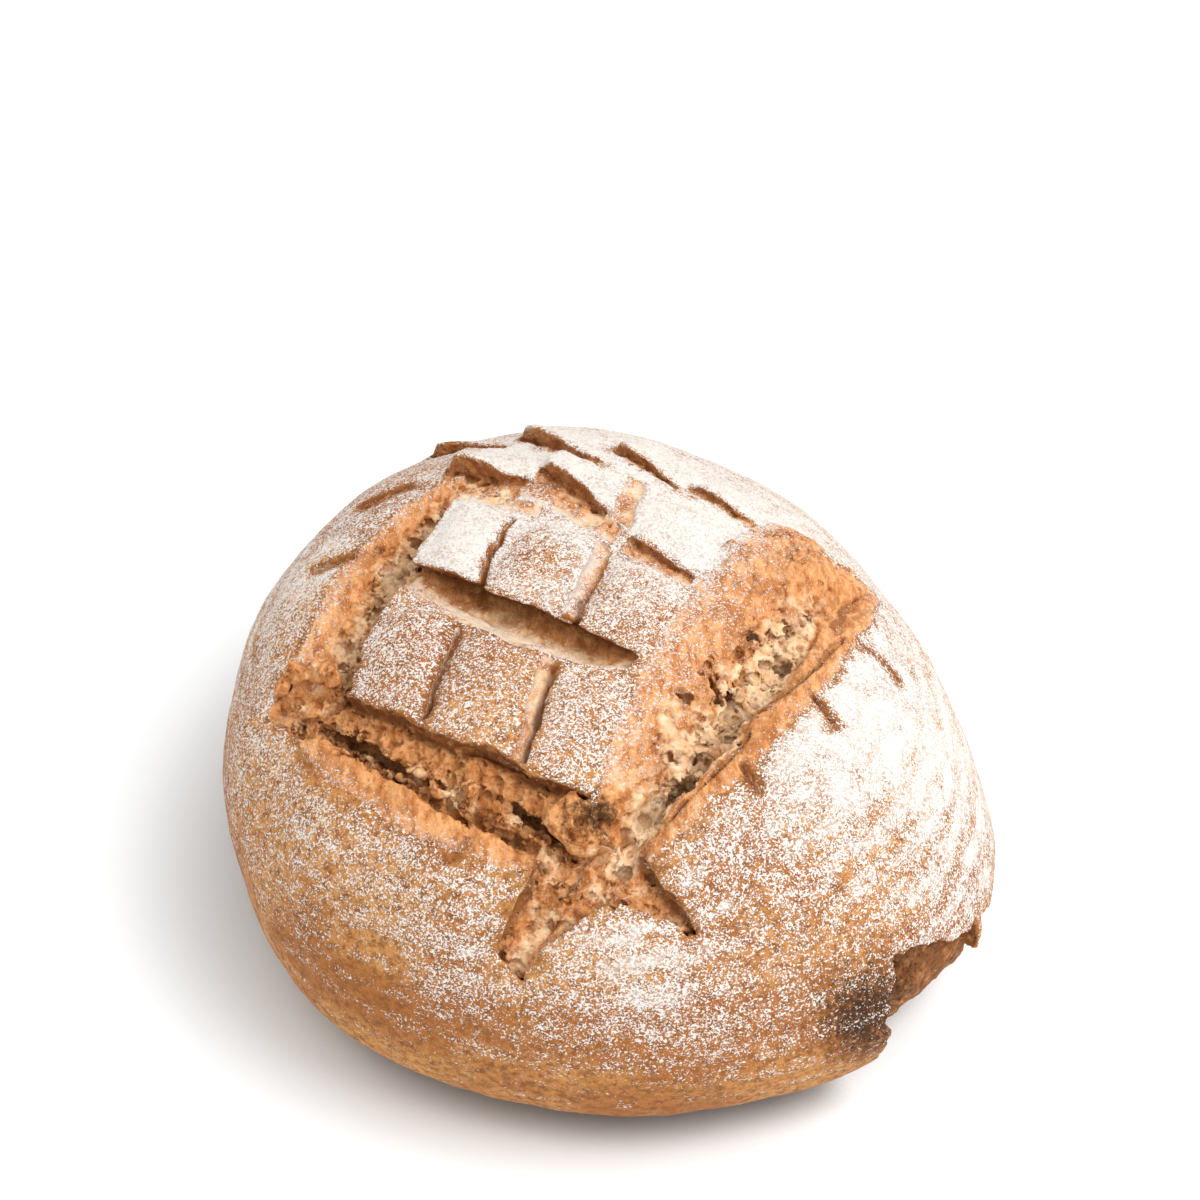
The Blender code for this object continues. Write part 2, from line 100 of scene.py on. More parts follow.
# Tears, from the edge where their wall stands (inner) to the far edge (outer). rows are cross-sections
# of the floor as (place along, ((share across, height), ...)). lift is how far the skin lifts at the wall
# and how wide. under is how far the wall is undercut for its depth. rough, pale and flour say how the
# floor runs across from share to share, and wall says how toasted the wall is.
TEARS = {
    "groove_front": dict(
        inner=edge((11, -64), (-1, -29)), outer=edge((5.5, -65), (-6, -29)),
        rows=((0.0, ((0, -2.5), (0.3, -2.5), (1, -0.2))),
              (0.35, ((0, -8), (0.3, -8), (0.45, -3), (1, -0.3))),
              (0.75, ((0, -8), (0.3, -7), (0.45, -3), (1, -0.3))), (1.0, ((0, -4), (0.4, -3), (1, -0.5)))),
        lift=(0.4, 4), under=0.1, wall=0.6, rough=((0, 0.15), (1, 0.15)),
        pale=((0, 0.2), (0.4, 0.5), (1, 0.35)), flour=((0, 0.0), (0.4, 0.2), (1, 0.5))),
    "groove_back": dict(
        inner=edge((-3, -14), (-10, 18)), outer=edge((-8.5, -14), (-17, 20)),
        rows=((0.0, ((0, -6), (0.3, -5), (0.5, -2.6), (1, -0.4))),
              (0.6, ((0, -5), (0.3, -4), (0.5, -2), (1, -0.2))),
              (1.0, ((0, -1), (1, -0.2)))),
        lift=(0.3, 4), under=0.1, wall=0.3, rough=((0, 0.3), (1, 0.25)),
        pale=((0, 0.3), (0.4, 0.4), (1, 0.4)), flour=((0, 0.1), (0.4, 0.5), (1, 0.85))),
    "groove_far": dict(
        inner=edge((-12, 32), (-18, 54)), outer=edge((-20, 34), (-26, 54)),
        rows=((0.0, ((0, -1), (0.5, -1.6), (1, -0.5))), (1.0, ((0, -0.4), (0.5, -0.8), (1, -0.2)))),
        lift=(0.0, 4), under=0.0, wall=0.0, rough=((0, 0.12), (1, 0.12)),
        pale=((0, 0.4), (1, 0.4)), flour=((0, 0.7), (0.4, 0.3), (1, 0.7))),
    # In the trough, the paleness and flour below zero under its overhang are painted shade, and its strongly
    # toasted wall is partly painted shadow under its top edge.
    "trough": dict(
        inner=edge((-62, -14), (19, -15)), outer=edge((-60, -24), (19, -22), -7),
        rows=((0.0, ((0, -5), (0.4, -4.5), (0.8, -1.5), (1, 0))),
              (0.2, ((0, -10.5), (0.3, -9.5), (0.5, -6), (0.8, -2.2), (1, -0.4))),
              (0.8, ((0, -10), (0.3, -9), (0.5, -5.5), (0.8, -2), (1, -0.4))),
              (1.0, ((0, -4), (0.5, -3), (1, 0)))),
        lift=(1.2, 6), under=0.9, wall=0.9, rough=((0, 0.4), (0.6, 0.4), (1, 0.15)),
        pale=((-0.9, -0.4), (-0.2, 0.2), (0.4, 0.6), (1, 0.5)),
        flour=((-0.4, -0.3), (0, 0), (0.45, 0.45), (1, 0.65))),
    "left": dict(
        inner=edge(long_cut(0, -66), long_cut(0, 24)), outer=edge((-70, -70), (-75, 30), 13),
        rows=((0.0, ((0, -6), (0.4, -6), (0.7, -3), (0.9, -0.5), (1.0, 0.2), (1.1, -1.5))),
              (0.25, ((0, -8), (0.15, -9), (0.3, -5.5), (0.55, -2.8), (0.85, -0.4), (1.0, 0.2),
                      (1.1, -1.5))),
              (0.55, ((0, -10.5), (0.3, -10.5), (0.42, -6.5), (0.6, -3.2), (0.8, -0.9), (1.0, 0.2),
                      (1.1, -1.5))),
              (0.85, ((0, -7), (0.25, -6), (0.5, -2.6), (0.8, -0.4), (1.0, 0.2), (1.1, -1.5))),
              (1.0, ((0, -2.5), (0.5, -1), (1.0, 0.2), (1.1, -1.5)))),
        lift=(1.2, 6), under=0.2, wall=0.35, rough=((0, 0.9), (0.42, 1.2), (0.6, 0.6), (1, 0.3)),
        pale=((0, 0.5), (0.35, 0.55), (0.5, 0.3), (0.75, 0.1), (1, 0.0)),
        flour=((0, 0.0), (0.5, 0.05), (0.75, 0.2), (1, 0.5))),
    "front": dict(
        inner=edge((-56, -65), (31, -62), -4), outer=edge((-67, -78), (29, -86), -12),
        rows=((0.0, ((0, -5), (0.3, -6), (0.45, -9), (0.6, -2), (1, 0.2), (1.1, -1.5))),
              (0.2, ((0, -3), (0.12, -5.5), (0.32, -4.5), (0.44, -11), (0.48, -11), (0.56, -2), (0.7, -0.2),
                     (0.85, 0.4), (1, 0.1), (1.1, -1.5))),
              (0.5, ((0, -4), (0.2, -6.5), (0.38, -4), (0.46, -9), (0.52, -9), (0.59, -2), (0.74, -0.2),
                     (0.88, 0.3), (1, 0.2), (1.1, -1.5))),
              (0.75, ((0, -5), (0.2, -6), (0.4, -3.5), (0.5, -12), (0.56, -12), (0.64, -2.5), (0.76, -0.4),
                      (0.9, 0.2), (1, 0.1), (1.1, -1.5))),
              (1.0, ((0, -4), (0.4, -6), (0.5, -9), (0.7, -8), (0.9, -2), (1, 0), (1.1, -1.5)))),
        lift=(2.2, 7), under=0.3, wall=1.0,
        rough=((0, 0.8), (0.35, 1.2), (0.6, 1.0), (0.72, 0.5), (1, 0.25)),
        pale=((0, -0.4), (0.1, 0.1), (0.3, 0.35), (0.4, 0.4), (0.5, 0.2), (0.65, 0.05), (1, 0.0)),
        flour=((0, -0.2), (0.6, -0.1), (0.78, 0.05), (1, 0.5))),
    "right": dict(
        inner=edge((36, -67), (20, 64), 8), outer=edge((53, -72), (59, 70), -12),
        rows=((0.0, ((0, -3), (0.3, -6), (0.7, -6), (0.85, -2), (0.93, 0.5), (1, 0), (1.06, -2))),
              (0.15, ((-0.05, 0), (0.1, -1), (0.3, -4), (0.45, -9), (0.62, -9.5), (0.7, -4), (0.8, -0.6),
                      (0.92, 0.5), (1, 0.5), (1.06, -2))),
              (0.35, ((-0.05, 0.2), (0.15, 0.2), (0.35, -2.5), (0.48, -4.5), (0.55, -9), (0.68, -9.5),
                      (0.74, -3), (0.82, -0.4), (0.94, 0.7), (1, 0.8), (1.04, -2))),
              (0.6, ((-0.05, 0.2), (0.2, -0.3), (0.4, -2.2), (0.56, -4.5), (0.66, -8), (0.76, -7.5),
                     (0.8, -2), (0.87, 0), (0.95, 0.9), (1, 1.0), (1.04, -2))),
              (0.85, ((-0.05, 0.5), (0.15, 1.8), (0.4, 2.4), (0.6, 1.4), (0.78, -1.5), (0.88, -1.5),
                      (0.94, 1.4), (0.98, 1.8), (1, 1.2), (1.05, -2))),
              (1.0, ((-0.05, 0.2), (0.2, 1.5), (0.5, 1.5), (0.8, 0.3), (1, 0), (1.05, -2)))),
        lift=(0.0, 6), under=0.0, wall=0.0,
        rough=((0, 0.15), (0.25, 0.45), (0.45, 1.0), (0.7, 1.2), (0.8, 0.5), (1, 0.35)),
        pale=((0, 0.0), (0.3, 0.05), (0.45, 0.25), (0.55, 0.6), (0.72, 0.75), (0.79, 0.1), (1, 0.0)),
        flour=((0, 0.65), (0.12, 0.4), (0.35, 0.2), (0.6, 0.08), (0.8, 0.08), (1, 0.15))),
    "fork_down": dict(
        inner=edge((27, -84), (27, -105), -1), outer=edge((47, -82), (34, -105), -1),
        rows=((0.0, ((0, -5.5), (0.5, -5.5), (1, -4))),
              (0.45, ((0, -5), (0.25, -6.5), (0.6, -6), (0.85, -3.5), (1, -2))),
              (1.0, ((0, -2.5), (0.5, -2.5), (1, -0.5)))),
        lift=(1.2, 6), under=0.25, wall=0.8, rough=((0, 0.9), (1, 0.9)),
        pale=((0, 0.1), (0.25, 0.4), (0.5, 0.6), (1, 0.25)), flour=((0, 0.02), (1, 0.1))),
    "fork_aside": dict(
        inner=edge((52, -68), (72, -73), 1), outer=edge((46, -81), (70, -75.5), 1.5),
        rows=((0.0, ((0, -4), (0.5, -5.5), (1, -4))),
              (0.5, ((0, -5), (0.4, -5), (0.8, -3), (1, -1))),
              (1.0, ((0, -1.5), (0.5, -1.5), (1, -0.5)))),
        lift=(1.2, 6), under=0.3, wall=0.8, rough=((0, 0.8), (1, 0.9)),
        pale=((0, 0.1), (0.4, 0.35), (1, 0.3)), flour=((0, 0.05), (1, 0.15))),
    "junction": dict(
        inner=edge((26, -76), (53, -68)), outer=edge((27, -88), (50, -82)),
        rows=((0.0, ((0, -5), (0.4, -5), (1, -5))), (0.5, ((0, -7), (0.4, -6), (1, -5.5))),
              (1.0, ((0, -5), (0.5, -4.5), (1, -4)))),
        lift=(0, 6), under=0.3, wall=0.0, rough=((0, 0.9), (1, 0.9)),
        pale=((0, 0.5), (0.5, 0.5), (1, 0.2)), flour=((0, 0.1), (1, 0.1))),
    "corner": dict(
        inner=edge((-56, -61), (-60, -79)), outer=edge((-78, -62), (-72, -77), -1),
        rows=((0.0, ((0, -3), (0.5, -1.5), (1, -1))), (0.5, ((0, -5), (0.4, -1.5), (0.7, -2.5), (1, -1))),
              (1.0, ((0, -7), (0.5, -4), (1, -1)))),
        lift=(0, 6), under=0.1, wall=0.3, rough=((0, 0.9), (1, 0.8)),
        pale=((0, 0.2), (0.5, 0.35), (1, 0.15)), flour=((0, 0.02), (1, 0.05))),
}
# Lifted edges of the back rows: wall, foot, lift and its reach, depth, paleness of the foot.
# Each row laps over the one before it, and its wall fades out to the right.
STEPS = {
    "step_left": (edge((-80, 33), (-45, 37), -1), edge((-73, 17), (-40, 21)), 6.0, 13, 3.5, 0.4),
    "step_middle": (edge((-52, 43), (-12, 30), 1), edge((-49, 30), (-13, 21)), 5.0, 14, 3.0, 0.35),
    "step_right": (edge((-8, 28), (20, 24)), edge((-8, 21), (18, 19)), 2.4, 9, 2.4, 0.3),
    "crown_left": (edge((-99, 51), (-72, 53)), edge((-97, 46), (-71, 50)), 3.8, 11, 1.6, 0.2),
    "crown_middle": (edge((-72, 64), (-34, 56)), edge((-71, 59), (-35, 53)), 5.0, 12, 2.0, 0.2),
    "crown_right": (edge((-41, 71), (-6, 60)), edge((-41, 66), (-6, 57)), 3.6, 12, 1.6, 0.2),
    "crown_edge": (edge((-7, 65), (22, 58)), edge((-8, 61), (19, 55)), 2.4, 10, 1.6, 0.2),
}
for name, (wall, foot, lift, reach, depth, pale) in STEPS.items():
    full = ((0, -depth), (0.4, -0.7 * depth), (0.8, -0.3 * depth), (1, 0))
    TEARS[name] = dict(
        inner=wall, outer=foot,
        rows=((0.0, ((0, -0.5 * depth), (0.5, -0.3 * depth), (1, 0))), (0.12, full), (0.5, full),
              (1.0, ((0, -0.2 * depth), (0.5, 0), (1, 0)))),
        lift=(lift, reach), under=0.25, wall=0.55, rough=((0, 0.6), (0.6, 0.7), (1, 0.2)),
        pale=((0, 0.1), (0.15, pale), (0.7, pale), (1, 0.5)),
        flour=((0, 0.05), (0.4, 0.25), (0.8, 0.5), (1, 0.9)))
# the lifted edges are carved first, so that the tears in front cut into them
TEARS = {name: TEARS[name] for name in sorted(TEARS, key=lambda name: name not in STEPS)}

# Narrow knife cuts: route, half-width, depth
SLITS = (
    (edge((-25.5, -64), (-33, -31)), 1.3, 5.0),
    (edge((-37.5, -13), (-46, 18), 1), 1.7, 5.0),
    (edge((-94, -21), (-85, -14)), 2.5, 6.0),
    (edge((-98, 13), (-89, 21)), 2.8, 6.5),
    (edge((67, 6), (77, 2)), 1.6, 3.5),
    (edge((62, -29), (70, -33)), 1.7, 3.5),
    (edge((68, 40), (82, 37)), 0.8, 1.2),
    (edge((5, -96), (5.5, -88)), 0.6, 1.4),
    (edge((57, -8), (63, 36), -2), 0.9, 3.2),
    (edge((58, -18), (54, -56), 1), 0.9, 3.0),
    (edge((58, 40), (56, 66), 1), 0.8, 2.6),
)
# Deep dark crevices: route, half-width, depth, how far they run back under the crust above
CREVICES = (
    (edge((-61, -76), (-20, -81.5), -1), 1.6, 15.0, 0.7),
    (edge((-15, -80), (-8, -80)), 1.2, 13.0, 0.6),
    (edge((4, -76), (31, -79), -1), 2.4, 16.0, 0.8),
    (edge((-58, -45), (-56, -60)), 1.6, 13.0, 0.0),
    (edge((36, -4), (52, -13), -2), 1.7, 8.0, 0.3),
    (edge((-12, -68.5), (24, -65.5)), 1.2, 7.0, 0.8),
)
# Loose flour: how many grains, and the smallest and largest half-size
GRAINS = 48000
GRAIN_SIZES = (0.1, 0.34)
# Larger hollows in the crumb: across, back, depth under the dome, radius
HOLLOWS = (
    (3, -71, -4, 3.8), (9, -70, -4.5, 3.4), (15, -69, -4, 2.6), (-27, -76, -6, 2.2), (-5, -77, -5, 2.2),
    (38, -17, -4.5, 2.2), (35, -19, -5, 2.2), (50, -11, -7, 3.0), (41, 16, -4, 1.8), (36, -1, -3, 1.0),
    (50, -20, -8, 2.4), (50, -31, -8.5, 3.2), (50, -42, -9, 3.8), (46, -49, -8.5, 2.8), (46, 52, 1, 1.0),
    (-68, -9, -8, 2.4), (-66, -17, -9, 2.6), (-69, 0, -7, 2.2), (-61, -43, -8, 2.2),
    (-67, -67, -1.5, 3.0), (-62, -68, -2, 3.2), (-57, -66, -4, 3.0), (-71, -70, -1, 2.4), (-64, -74, -3, 2.4),
    (31, -90, -5, 2.8), (32, -97, -4, 2.6), (36, -84, -5, 2.2), (58, -73, -4, 1.8), (31, -103, -3, 2.0),
)
# Lumps: across, back, height over the dome, radii across, back and up
LUMPS = (
    (31, -69, 0.0, 8.5, 6.5, 5.0), (26, -72, -1.5, 7.0, 4.5, 4.0), (37, -64, -1.0, 5.5, 6.0, 3.5),
    (34, -73, -1.0, 4.5, 3.5, 3.5), (28, -68, 2.2, 4.0, 3.0, 2.5), (35, -67, 1.5, 3.0, 3.5, 2.5),
    (-77, -66, 0.0, 2.4, 5.5, 3.0), (-73, -61, 0.6, 4.5, 2.6, 3.0), (-66, -59, 0.2, 5.0, 2.6, 3.0),
    (-60, -60, -0.4, 3.5, 2.4, 2.6), (-67, -75, -2.5, 4.0, 2.6, 3.0), (-73, -73, -1.5, 3.0, 3.0, 2.4),
    (-63, -70, -3.5, 3.0, 3.0, 2.6), (47, -24, -4.5, 3.0, 2.6, 3.5),
    (44, -8, -3.0, 4.0, 3.0, 2.2), (-3, -74, -4.5, 3.5, 2.5, 2.5), (21, -76, -6.0, 5.0, 2.0, 3.0),
)
# Spacing of the small bubbles in the crumb, largest first
BUBBLES = (4.2, 2.3, 1.3)
# Share of roughness from which the crumb gets bubbles and a finer mesh
CRUMB_FROM = 0.08
# Swellings on the flanks: across, back, half-size, rise
SWELLINGS = (
    (-35, -98, 22, 2.5), (2, -100, 22, 2.5), (75, -20, 22, 2.0), (74, 24, 20, 2.0), (-84, -30, 24, 1.5),
)
# The side that burst low down on the right: a pocket behind a free edge of crust. It has its first and
# last direction in degrees, the height of its top at both, depth, thickness of the crust over it, the
# place of the strip that still stands in it, and the loaf's radius there.
BURST = dict(turns=(-51, -20), top=(70, 38), depth=10.5, crust=2.6, strip=43, radius=118)
# Rings of the proving basket: their middle and centre height, radius and spacing
RINGS = dict(middle=(-5, 8, 12), radius=105, spacing=8.2)
# Grains of flour in the colour of the crust: size and share of the whole
FLOUR_CELLS = ((0.42, 0.6), (0.75, 0.4))
# Colour of the floor where its painted shadow from the loaf is darkest, and how finely that painted shadow is
# drawn
FLOOR_SHADE = (0.12, 0.115, 0.11, 1)
SHADE_SAMPLES = 3

# Share of each cell that flour hides, front row first, and patches where it lies thicker or thinner:
# place, reach, change
CELL_FLOUR = ((0.62, 0.52, 0.62), (0.94, 0.74, 0.56), (1.02, 1.02, 1.0))
FLOUR_PATCHES = (
    (-52, -96, 78, 24, 0.25), (8, -105, 80, 22, 0.32), (-78, -52, 98, 12, -0.2), (-98, 30, 95, 34, 0.3),
    (34, 33, 116, 40, 0.4), (66, -37, 105, 40, 0.25), (-11, 79, 112, 34, 0.35), (95, -30, 70, 34, 0.2),
    (-66, -24, 114, 9, -0.1), (-20, 16, 123, 8, -0.4), (-40, -42, 113, 8, -0.15),
    (70, -95, 60, 26, -0.25), (80, -60, 84, 12, -0.1), (-104, -29, 92, 24, 0.12), (-68, -97, 66, 18, -0.42),
    (-85, -63, 95, 10, 0.2), (-47, -91, 93, 12, -0.08), (38, -100, 85, 16, -0.16), (-18, -120, 46, 30, -0.1),
)
# Crumb that is paler or more toasted than along the rest of its tear: across, back, reach, change
PALE_PATCHES = (
    (46, 56, 15, -0.8), (38, 66, 12, -0.5), (53, 22, 9, 0.25), (36, -28, 8, 0.35), (40, -52, 12, 0.3),
    (31, -10, 6, -0.3), (32, -69, 8, -0.6), (-70, -12, 9, 0.2), (-60, 22, 8, 0.2),
)
# Burnt spots, and browner skin low on the flanks: place, reach, change
BURNT_PATCHES = (
    (-5, -75, 110, 10, 0.8), (5, -73, 110, 7, 0.35), (74, -104, 56, 20, 0.85), (80, -98, 40, 14, 0.3),
    (98, -62, 60, 24, 0.3), (-98, -24, 104, 6, 0.3),
)
BAKED_PATCHES = ((-68, -97, 64, 28, 0.6), (30, -112, 55, 34, 0.4), (75, -95, 55, 32, 0.9))


# ---------------------------------------------------------------- sizes and colours a user would change

def length(name, description, default, size=0):
    """A length in millimetres, kept in metres; with a size, a row of lengths."""
    if size:
        return FloatVectorProperty(name=name, description=description, size=size, unit="LENGTH",
                                   default=[v * MM for v in default])
    return FloatProperty(name=name, description=description, default=default * MM, unit="LENGTH")


def angle(name, description, default):
    """An angle, given in degrees."""
    return FloatProperty(name=name, description=description, default=math.radians(default), subtype="ANGLE")


def share(name, description, default):
    """A plain number."""
    return FloatProperty(name=name, description=description, default=default)


def colour(name, description, *screen):
    """A colour, given in screen values."""
    return FloatVectorProperty(name=name, description=description, size=4, min=0.0, max=1.0,
                               subtype="COLOR", default=rgb(*screen))


class LoafShape(PropertyGroup):
    """The bare dome that the crust is shaped over, and how finely it is made."""
    height: length("Height", "Top of the bare dome over its base", 122.0)
    girth: length("Girth height", "Height of the widest line", 44.0)
    across: length("Half-axes", "Half-axes of the oval outline", (115.0, 125.5), 2)
    turn: angle("Turn", "Turn of the oval's first axis", 44)
    lean: length("Lean", "How far the crown sits off the middle", (-16.0, 15.0), 2)
    middle: length("Middle", "Middle of the outline in the dome's own frame", (-10.1, 21.9), 2)
    egg: share("Egg", "How much further one side swelled", 0.155)
    egg_turn: angle("Egg direction", "Where the side that swelled most looks", 120)
    lobes: share("Lobes", "Strength of the three faint corners", 0.036)
    lobes_turn: angle("Lobes direction", "Where the first faint corner looks", -28)
    crown_power: share("Crown roundness", "2 is an even dome, more is squarer", 2.4)
    foot_power: share("Foot roundness", "2 is an even foot, more is squarer", 2.5)
    foot_depth: share("Foot depth", "Share of the lower half that stays above the base", 0.8)
    cell_rise: length("Cell rise", "How far each cell of the lattice puffs up between its cuts", 3.2)
    grain: length("Grain", "Spacing of the volume that the crust is cut from", 0.7)
    quick_grain: length("Quick grain", "The same, for a quick look", 1.2)
    triangles: IntProperty(name="Triangles", description="Faces kept in the finished crust", default=196000)


class LoafColours(PropertyGroup):
    """Colours of the crust, the crumb and the flour, and of the shade painted into the crumb."""
    skin_light: colour("Light skin", "Baked skin where it is palest", 202, 144, 82)
    skin_dark: colour("Dark skin", "Baked skin in its brown patches", 168, 106, 54)
    skin_freckle: colour("Freckles", "Small dark freckles of the skin", 126, 76, 38)
    rim: colour("Rim", "Skin along the cuts", 122, 70, 34)
    torn_light: colour("Light torn crust", "Stretched crust at its lightest", 236, 172, 114)
    torn_dark: colour("Dark torn crust", "Stretched crust at its darkest", 172, 102, 48)
    crumb_light: colour("Light crumb", "Crumb at its palest", 255, 227, 190)
    crumb_dark: colour("Dark crumb", "Crumb between its bubbles", 240, 189, 134)
    crest: colour("Crests", "Toasted crests of the torn crumb", 158, 90, 40)
    # painted shade at the bottoms of the bubbles
    pit: colour("Pits", "Bottoms of the bubbles", 172, 116, 62)
    # painted shade where the crumb lies deep under the bare dome
    deep: colour("Depths", "Crumb deep under the crust", 120, 82, 44)
    toast_dark: colour("Dark toast", "Toasted walls at their darkest", 70, 40, 20)
    toast_light: colour("Light toast", "Toasted walls at their lightest", 146, 86, 42)
    flour: colour("Flour", "Flour that lies thick", 221, 214, 207)
    char: colour("Char", "Burnt crust", 46, 30, 20)


class LoafStudio(PropertyGroup):
    """Camera, light and floor."""
    tilt: angle("Camera tilt", "How far the camera looks down", 46)
    aim: length("Aim", "Place that the camera looks at", (-2.7, -21.9, 144.5), 3)
    distance: length("Distance", "From the camera to the place it looks at", 828.0)
    lens: share("Lens", "Focal length in millimetres", 85.0)
    key_power: share("Key light", "Power of the soft light in watts", 13.0)
    key_size: length("Key size", "Side of the soft light", 900.0)
    key_place: length("Key place", "Where the soft light hangs", (755.0, -275.0, 1150.0), 3)
    sky: share("Sky", "Strength of the even light all round", 1.05)
    floor: colour("Floor", "Plain pale floor", 246, 249, 250)
    floor_size: length("Floor size", "Side of the floor", 6000.0)
    # how far and on which side the shadow painted on the floor reaches
    shade_reach: length("Shade reach", "How far the loaf shades the floor on its dark side", 55.0)
    contact_reach: length("Contact reach", "The same for the dark line under its foot", 14.0)
    shade_side: FloatVectorProperty(name="Lit side", description="Way that the shaded floor looks",
                                    default=(0.68, -0.58, 0.45))


# ---------------------------------------------------------------- plain geometry

def smooth(low, high, x):
    """0 below low, 1 above high, and an even ease between them."""
    t = np.clip((x - low) / (high - low), 0.0, 1.0)
    return t * t * (3 - 2 * t)


def ramp(x, pairs):
    """Straight runs between pairs of place and value."""
    return np.interp(x, [p[0] for p in pairs], [p[1] for p in pairs])


def nearest(x, y, line):
    """Distance from each place to a route, and how far along it, 0 to 1, the nearest point lies."""
    gap = np.full(x.shape, 1e9)
    place = np.zeros(x.shape)
    for i, (a, b) in enumerate(zip(line[:-1], line[1:])):
        run = b - a
        t = np.clip(((x - a[0]) * run[0] + (y - a[1]) * run[1]) / (run @ run), 0, 1)
        away = np.hypot(x - a[0] - run[0] * t, y - a[1] - run[1] * t)
        closer = away < gap
        gap = np.where(closer, away, gap)
        place = np.where(closer, (i + t) / (len(line) - 1), place)
    return gap, place


def band(x, y, a, b):
    """Share across a tear (0 inner edge, 1 outer), place along it, distance past its ends (below zero
    between them), width."""
    middle = (a + b) / 2
    across = (b - a) / np.hypot(*(b - a).T)[:, None]
    ahead = np.stack([-across[:, 1], across[:, 0]], axis=1)
    ahead = ahead * np.sign((ahead * np.gradient(middle, axis=0)).sum(1))[:, None]
    before = (x - a[0, 0]) * ahead[0, 0] + (y - a[0, 1]) * ahead[0, 1]
    t = np.zeros(x.shape)
    past = np.maximum(-before, 0)
    closest = np.where(before < 0, np.hypot(x - middle[0, 0], y - middle[0, 1]), 1e9)
    for i in range(1, len(a)):
        after = (x - a[i, 0]) * ahead[i, 0] + (y - a[i, 1]) * ahead[i, 1]
        away = np.hypot(x - middle[i, 0], y - middle[i, 1])
        here = (before >= 0) & (after < 0) & (away < closest + 2)
        t = np.where(here, (i - 1 + before / np.maximum(before - after, 1e-6)) / (len(a) - 1), t)
        past = np.where(here, 0, past)
        closest = np.where(here, away, closest)
        before = after
    beyond = (before >= 0) & (np.hypot(x - middle[-1, 0], y - middle[-1, 1]) < closest)
    t = np.where(beyond, 1, t)
    past = np.where(beyond, before, past)
    length = np.hypot(*np.diff(middle, axis=0).T).sum()
    past = np.where(past > 0, past, -np.minimum(t, 1 - t) * length)
    u = t * (len(a) - 1)
    low = np.minimum(u.astype(int), len(a) - 2)
    f = u - low
    sx, sy = (a[low, k] * (1 - f) + a[low + 1, k] * f for k in (0, 1))
    rx, ry = (b[low, k] * (1 - f) + b[low + 1, k] * f for k in (0, 1))
    rx, ry = rx - sx, ry - sy
    width = np.hypot(rx, ry)
    s = ((x - sx) * rx + (y - sy) * ry) / width ** 2
    return s, t, past, width


def floor_height(s, t, rows):
    """Height of a tear's floor, its cross-sections blended along its length."""
    places = [place for place, _ in rows]
    heights = [ramp(s, row) for _, row in rows]
    height = heights[0]
    for i in range(1, len(rows)):
        f = np.clip((t - places[i - 1]) / (places[i] - places[i - 1]), 0, 1)
        height = height + f * (heights[i] - heights[i - 1])
    return height


def dome_field(x, y, z, shape):
    """Below zero inside the bare dome and above zero outside it."""
    height, girth = shape.height / MM, shape.girth / MM
    x, y = x + shape.middle[0] / MM, y + shape.middle[1] / MM
    climb = np.clip((z - girth) / (height - girth), 0, 1)
    x, y = x - shape.lean[0] / MM * climb, y - shape.lean[1] / MM * climb
    turn = np.arctan2(y, x)
    half_a, half_b = shape.across[0] / MM, shape.across[1] / MM
    reach = 1 / np.hypot(np.cos(turn - shape.turn) / half_a, np.sin(turn - shape.turn) / half_b)
    egg = shape.egg * np.cos(turn - shape.egg_turn)
    reach = reach * (1 + egg + shape.lobes * np.cos(3 * (turn - shape.lobes_turn)))
    out = np.hypot(x, y) / reach
    up = np.maximum(z - girth, 0) / (height - girth)
    down = np.maximum(girth - z, 0) / (girth / shape.foot_depth)
    crown = (out ** shape.crown_power + up ** shape.crown_power) ** (1 / shape.crown_power)
    foot = (out ** shape.foot_power + down ** shape.foot_power) ** (1 / shape.foot_power)
    return np.where(z > girth, crown, foot) - 1


class Block:
    """A box of evenly spaced points that the loaf is carved from."""

    def __init__(self, low, high, step):
        self.step = step
        self.low = np.array(low, float)
        self.axes = [np.arange(a, b + step, step) for a, b in zip(low, high)]
        self.shape = tuple(len(a) for a in self.axes)
        self.plan = np.meshgrid(self.axes[0], self.axes[1], indexing="ij")

    def spot(self, points, size):
        """The corner of the block before each point, and the share of a step that the point is past it."""
        u = (points[:, :size] - self.low[:size]) / self.step
        u = np.clip(u, 0, np.array(self.shape[:size]) - 1.001)
        i = u.astype(int)
        return i, u - i

    def sample(self, field, points):
        """A volume's value at points, evenly blended between the nearest eight."""
        i, f = self.spot(points, 3)
        total = 0
        for corner in np.ndindex(2, 2, 2):
            corner = corner[::-1]
            weight = np.prod(np.where(corner, f, 1 - f), axis=1)
            total = total + weight * field[tuple((i + corner).T)]
        return total

    def sample_plan(self, sheet, points):
        """A plan's value at points, evenly blended between the nearest four."""
        (i, j), (f, g) = (part.T for part in self.spot(points, 2))
        near, far = (sheet[i, j + k] * (1 - f) + sheet[i + 1, j + k] * f for k in (0, 1))
        return near * (1 - g) + far * g

    def noise(self, grain, seed, above=0, flat=False):
        """Even, soft noise of unit spread with lumps of about the grain's size."""
        rng = np.random.default_rng(seed)
        weights = []
        for k, axis in enumerate(self.axes[:2] if flat else self.axes):
            u = (axis - self.low[k]) / grain
            i = u.astype(int)
            f = u - i
            w = np.zeros((len(axis), int(u.max()) + 5), np.float32)
            for j, b in enumerate(((1 - f) ** 3 / 6, (3 * f ** 3 - 6 * f ** 2 + 4) / 6,
                                   (-3 * f ** 3 + 3 * f ** 2 + 3 * f + 1) / 6, f ** 3 / 6)):
                w[np.arange(len(axis)), i + j] = b
            weights.append(w[above:] if k == 2 else w)
        out = rng.uniform(-1, 1, [w.shape[1] for w in weights]).astype(np.float32)
        out = np.tensordot(weights[0], out, (1, 0))
        for weight in weights[1:]:
            out = np.tensordot(out, weight, (1, 1))
        return out / out.std()


# ---------------------------------------------------------------- carving the loaf

